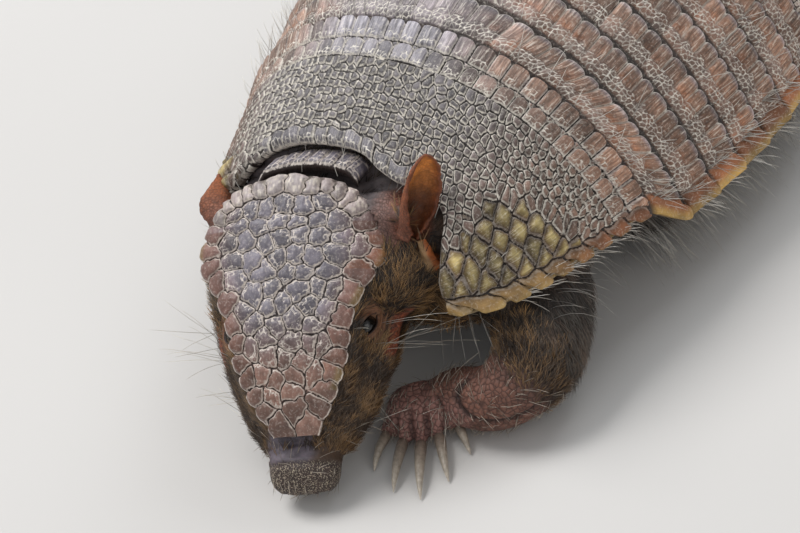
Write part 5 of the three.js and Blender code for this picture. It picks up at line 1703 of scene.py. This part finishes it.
def hairs(name, at, normal, direction, length, width, tint, material, lift=0.2, settle=0.5, droop=0.0,
          stations=3, sides=2, frost=0.2, stray=0.18, wave=0.0, slot="hide"):
    """Tapered strips (two sides) or fine prisms (three), curving from each root towards the surface or down.

    lift is the angle in radians at the root, settle and droop are how far a hair bends back to the skin and down,
    frost is how pale its tip is, stray how far it swings sideways and wave how far it curls.
    """
    count = len(at)
    direction = along_surface(direction, normal)
    across = np.cross(normal, direction)
    swing = rng.normal(0, stray, count)[:, None]
    direction = unit(direction + across * swing)
    lift = np.clip(lift * rng.uniform(0.5, 1.5, count), 0, 1.45)[:, None]
    start = direction * np.cos(lift) + normal * np.sin(lift)
    across = unit(np.cross(normal, start))
    length = (length * rng.uniform(0.65, 1.25, count))[:, None]
    u = np.linspace(0, 1, stations + 1)
    rings = []
    phase = rng.uniform(0, 6.28, count)[:, None]
    for k, v in enumerate(u):
        centre = at - 0.25 * normal + start * (length * v) - normal * (settle * np.sin(lift) * length * v * v)
        centre = centre + DOWN * (droop * length * v * v) + across * (wave * length * np.sin(phase + 3 * v) * v)
        if k == stations:
            rings.append(centre[:, None])
            continue
        half = width * (1 - 0.55 * v) / 2
        if sides == 2:
            rings.append(np.stack([centre - across * half, centre + across * half], 1))
        else:
            second = np.cross(start, across)
            turns = [2 * math.pi * j / 3 for j in range(3)]
            rings.append(np.stack([centre + half * (math.cos(a) * across + math.sin(a) * second) for a in turns], 1))
    per = sides * stations + 1
    points = np.concatenate(rings, 1).reshape(-1, 3)
    points[:, 2] = np.maximum(points[:, 2], 0.12)
    first = np.arange(count)[:, None] * per
    quads, tips = [], []
    for k in range(stations):
        for j in range(sides if sides > 2 else 1):
            a, b = first + k * sides + j, first + k * sides + (j + 1) % sides
            if k < stations - 1:
                quads.append(np.concatenate([a, b, b + sides, a + sides], 1))
            else:
                tips.append(np.concatenate([a, b, first + per - 1], 1))
    at_u = np.concatenate([np.repeat(u[:-1], sides), [1.0]])
    side_u = np.concatenate([np.tile(np.linspace(-1, 1, sides), stations), [0.0]])
    frosted = np.repeat(np.clip(frost * rng.uniform(0.2, 1.8, count), 0, 1), per)
    tint = np.repeat(tint * rng.uniform(0.75, 1.25, (count, 1)), per, 0)
    layers = {"tint": tint, "along": np.tile(at_u, count), "frost": frosted}
    obj = new_mesh(name, points, [np.concatenate(quads), np.concatenate(tips)], layers)
    uv = np.repeat(unwrap(at), per, 0) + 0.0015 * np.stack([np.tile(side_u, count), np.tile(2 * at_u - 1, count)], 1)
    index = np.empty(len(obj.data.loops), np.int32)
    obj.data.loops.foreach_get("vertex_index", index)
    obj.data.uv_layers.new(name="OFBake").data.foreach_set("uv", uv[index].astype(np.float32).ravel())
    return finish_piece(obj, material, slot)


def coat(skin, limit):
    """The fur, rooted in those triangles of the skin whose vertices come before `limit`: not in ears or lids."""
    surface = Surface(skin, limit)
    x, y, z = surface.centre.T
    h = to_head(surface.centre)
    layers = skin_layers(surface.centre)
    fur = hair_material("fur", 0.6)
    bristle = hair_material("bristle", 0.4)
    head = (h[:, 1] < 36) & (y < -56)
    eye = np.linalg.norm(mirrored(h) - EYE_SURFACE, axis=1)
    bare = (1 - layers["warty"]) * (1 - layers["scaly"]) * (1 - 0.93 * layers["bald"])
    bare = bare * (h[:, 1] > -48.5) * smooth(eye, 4.5, 8.5)
    visible = ~under_shell(surface.centre, 2.0)

    # Short fur on cheeks, snout and jaw.
    at, normal = surface.scatter(34000, head * bare * (1 + 1.2 * (h[:, 1] < 0)) * visible)
    _, hy, hz = to_head(at).T
    golden = 0.36 + 0.9 * lumps(at, 5.0) + 0.6 * lumps(at, 1.8) + rng.normal(0, 0.42, len(at))
    tint = blend(rgb(28, 20, 15), rgb(158, 120, 74), np.clip(golden, 0, 1))
    tint = blend(tint, rgb(66, 44, 26), 0.5 * smooth(-hy, 5, 30))
    length = mix(4.2, 6.8, smooth(hy, -42, 5)) * mix(1, 1.4, smooth(-hz, 26, 36))
    back_and_down = np.array([0, 1, -0.35]) @ HEAD_AXES.T
    hairs("coat_face", at, normal, back_and_down, length, 0.24, tint, fur, lift=0.5, settle=0.6, frost=0.14, stray=0.5)

    # Neck, throat, breast and upper arms: dark fur with pale tips.
    front = (y < 20) & ~(head & (h[:, 1] < 30)) & (z > 3)
    at, normal = surface.scatter(36000, front * bare * mix(1, 2.0, smooth(x, 20, 50)) * visible)
    way = np.array([0, 0.75, -0.7])
    on_arm = np.zeros(len(at), bool)
    for line, out in zip(FORE_LINES[::-1], (-0.1, 0.1)):
        distance, t = near_line(at, line)
        way = put(way, distance < ARM_REACH, line.heading(t) * 0.7 + [out, 0.25, -0.4])
        on_arm |= distance < ARM_REACH
    pale = np.clip(0.3 + 0.9 * lumps(at, 6.0) + rng.normal(0, 0.25, len(at)), 0, 1)
    tint = blend(rgb(30, 23, 19), rgb(84, 62, 46), pale)
    hairs("coat_front", at, normal, way, np.where(on_arm, 8.0, 7.0), 0.32, tint, fur, lift=0.3, settle=0.6, droop=0.12,
          frost=0.16, stray=0.3)

    # Flanks, belly, rump and hind legs.
    rear = (y >= 0) & (z > 3) & (y < 196)
    at, normal = surface.scatter(36000, rear * bare * mix(0.35, 1.6, smooth(z, 12, 26)) * visible)
    low = smooth(-at[:, 2], -26, -14)
    tint = blend(rgb(36, 30, 27), rgb(84, 66, 52), np.clip(0.3 + 0.8 * lumps(at, 7.0), 0, 1))
    tint = blend(tint, rgb(140, 114, 92), 0.5 * low)
    hairs("coat_rear", at, normal, np.array([0, 0.9, -0.55]), mix(11.0, 7.0, low), 0.34, tint, fur, lift=0.4,
          settle=0.5, droop=0.2, frost=0.22, stray=0.35)

    # Long pale hairs that hang from under the margin of the armour.
    margin = margin_height(np.clip(y, -60, 180))
    under = np.exp(-((z - margin + 2) / 7.0) ** 2) * (np.abs(x) > 30) * (y > -58) * (y < 178)
    at, normal = surface.scatter(2400, under * mix(0.12, 1.0, smooth(y, -10, 15)) * visible)
    way = np.stack([np.sign(at[:, 0]) * 0.35, 0.75 + 0 * at[:, 0], -0.85 + 0 * at[:, 0]], 1)
    tint = between((98, 93, 90), (176, 171, 163), len(at))
    hairs("coat_long", at, normal, way, 20.0, 0.24, tint, bristle, lift=0.75, settle=0.25, droop=0.42, stations=5,
          sides=3, frost=0.5, stray=0.35, wave=0.04)

    # Sparse pale hairs on belly, feet and tail.
    low = (z < 20) & (np.abs(x) < 90)
    at, normal = surface.scatter(5200, (low * 1.0 + 2.0 * layers["tail"] + 1.2 * layers["scaly"]) * visible)
    distance, t = near_line(at, TAIL_CURVE)
    way = put(np.array([0, 0.85, -0.3]), distance < 16, TAIL_CURVE.heading(t))
    feet = (at[:, 2] < 15) & (at[:, 1] < -40)
    way = put(way, feet, np.array([0.2, -1.0, -0.2]))
    tint = between((104, 88, 74), (196, 184, 168), len(at))
    hairs("coat_sparse", at, normal, way, np.where(feet, 4.5, 6.5), 0.22, tint, bristle, lift=0.45, settle=0.4,
          droop=0.15, stations=4, sides=3, frost=0.4, stray=0.4)


def shell_bristles():
    """Pale bristles that grow from the gaps between the plates and over the ends of the bands."""
    material = hair_material("shell_bristle", 0.35)
    rows = []

    def row(y, count, length, spread, low=-1.0, high=1.0, push=0.2):
        """Bristles at about y, from share low to share high down the flanks, rooted `push` mm under the plates."""
        share = rng.uniform(low, high, count)
        yy = y + rng.uniform(-spread, spread, count)
        turn = turn_at(yy, share)
        normal = back_normal(yy, turn)
        at = back_point(yy, turn) - normal * push
        rows.append((at, normal, np.full(count, length)))

    # Over the back: out of each gap, and a few on the scapular shield.
    for k in range(BAND_COUNT + 1):
        row(k * BAND_PITCH + 1.2, 44, 13.0, 0.5)
        row(k * BAND_PITCH + 1.2, 26, 13.0, 0.5, -1.0, -0.55)
    for k in range(1, PELVIC_ROWS):
        row(BAND_COUNT * BAND_PITCH + PELVIC_FIRST + PELVIC_PITCH * (k - 1) + 0.8, 34, 11.0, 0.4)
    row(-30, 90, 7.0, 28)
    at, normal, length = (np.concatenate(parts) for parts in zip(*rows))
    tint = between((176, 170, 162), (226, 222, 212), len(at))
    hairs("bristles_back", at, normal, np.array([0, 1.0, 0]), length, 0.24, tint, material, lift=0.75, settle=0.25,
          droop=0.05, stations=5, sides=3, frost=0.5, stray=0.3, wave=0.03)

    # At the sides: tufts over the ends of the bands, and along the margins.
    rows.clear()
    for k in range(BAND_COUNT + 1):
        for sign in (1, -1):
            for centre in rng.uniform(0.885, 0.985, 4) * sign:
                row(k * BAND_PITCH + 2.5, 7, 16.0, 0.9, centre - 0.005, centre + 0.005, 0.8)
    for sign in (1, -1):
        row(145, 150, 15.0, 30, *sorted((0.93 * sign, sign)), 0.5)
        row(-34, 60, 9.0, 24, *sorted((0.965 * sign, sign)), 0.3)
    at, normal, length = (np.concatenate(parts) for parts in zip(*rows))
    way = np.stack([0.1 * np.sign(at[:, 0]), 1.0 + 0 * at[:, 0], -0.3 + 0 * at[:, 0]], 1)
    tint = between((186, 178, 166), (236, 232, 224), len(at))
    hairs("bristles_side", at, normal, way, length, 0.28, tint, material, lift=0.3, settle=0.2, droop=0.22, stations=5,
          sides=3, frost=0.5, stray=0.28, wave=0.05)


# Where whiskers grow, in the head's frame: a line from point to point, their number and their length in mm.
WHISKER_SPOTS = [
    (*CHEEK_WARTS, 12, 30),
    ((24, -26, -27), (20, -38, -25), 12, 17),
    ((14, -30, -38), (9, -44, -31), 12, 13),
    ((24, 2, -7), (23, -12, -9), 5, 12),
]


def whiskers():
    """Long hairs on the cheek's row of warts, the snout, the chin and over the eye."""
    material = hair_material("whisker", 0.35)
    out = unit(np.array([1.0, 0.05, -0.35]))
    at, normal, way, length = [], [], [], []
    for sign in (1, -1):
        for a, b, count, long in WHISKER_SPOTS:
            for _ in range(count):
                p = mix(np.array(a, float), np.array(b, float), rng.uniform()) + rng.normal(0, 1.0, 3)
                start = world(from_head((p + out * 25) * [sign, 1, 1]))
                hit = SKIN_TREE.ray_cast(Vector(start), Vector(HEAD_AXES @ (-out * [sign, 1, 1])))
                if hit[0] is None:
                    continue
                at.append(np.array(hit[0]) * 1000 - SHIFT)
                normal.append(np.array(hit[1]))
                way.append(HEAD_AXES @ (np.array([0.93, 0.3, -0.12]) * [sign, 1, 1]))
                length.append(long * rng.uniform(0.7, 1.2))
    tint = between((150, 136, 118), (228, 222, 210), len(at))
    hairs("whiskers", np.array(at), np.array(normal), np.array(way), np.array(length), 0.19, tint, material, lift=0.75,
          settle=0.15, droop=0.14, stations=7, sides=3, frost=0.4, stray=0.3, wave=0.04)


coat(SKIN, SKIN_COUNT)
shell_bristles()
whiskers()


# ---- Camera, floor and light ---------------------------------------------------------------------


def studio():
    """The camera fitted to the photo, a pale floor and soft light from above."""
    scene = bpy.context.scene
    scene.view_settings.view_transform = "Standard"
    camera = bpy.data.cameras.new("camera")
    camera.sensor_width = 36
    camera.lens = 120.2
    camera.clip_end = 60
    eye = bpy.data.objects.new("camera", camera)
    scene.collection.objects.link(eye)
    right, up, back = (0.825, 0.512, -0.238), (-0.158, 0.614, 0.773), (0.542, -0.600, 0.588)
    place = Matrix((right, up, back)).transposed().to_4x4()
    place.translation = world([486.7, -570.4, 552.7]).tolist()
    eye.matrix_world = place
    scene.camera = eye

    corners = np.array([[-30, -30, 0], [30, -30, 0], [30, 30, 0], [-30, 30, 0]])
    floor = new_mesh("floor", corners, [np.array([[0, 1, 2, 3]])], place=False)
    n = Nodes("floor")
    soft = n.ramp(n.noise(3.0, 2), [(0.3, (0.60, 0.585, 0.565)), (0.7, (0.63, 0.615, 0.595))])
    floor.data.materials.append(n.finish(soft, 0.85))

    world_data = bpy.data.worlds.new("studio")
    world_data.use_nodes = True
    sky = world_data.node_tree.nodes["Background"].inputs
    sky["Color"].default_value = (0.93, 0.96, 1.0, 1)
    sky["Strength"].default_value = 0.42
    scene.world = world_data
    for name, at, size, power, colour in (
        ("key", (-1.3, -0.1, 2.2), 1.3, 52, (1.0, 0.99, 0.985)),
        ("fill", (2.0, -1.2, 1.4), 2.0, 13, (1.0, 0.96, 0.92)),
        ("rim", (0.3, 1.9, 2.2), 1.5, 20, (0.93, 0.965, 1.0)),
    ):
        light = bpy.data.lights.new(name, "AREA")
        light.energy = power
        light.size = size
        light.color = colour
        lamp = bpy.data.objects.new(name, light)
        scene.collection.objects.link(lamp)
        lamp.location = at
        lamp.rotation_euler = (Vector((0, 0, 0.06)) - Vector(at)).to_track_quat("-Z", "Y").to_euler()
        lamp.visible_camera = False


studio()
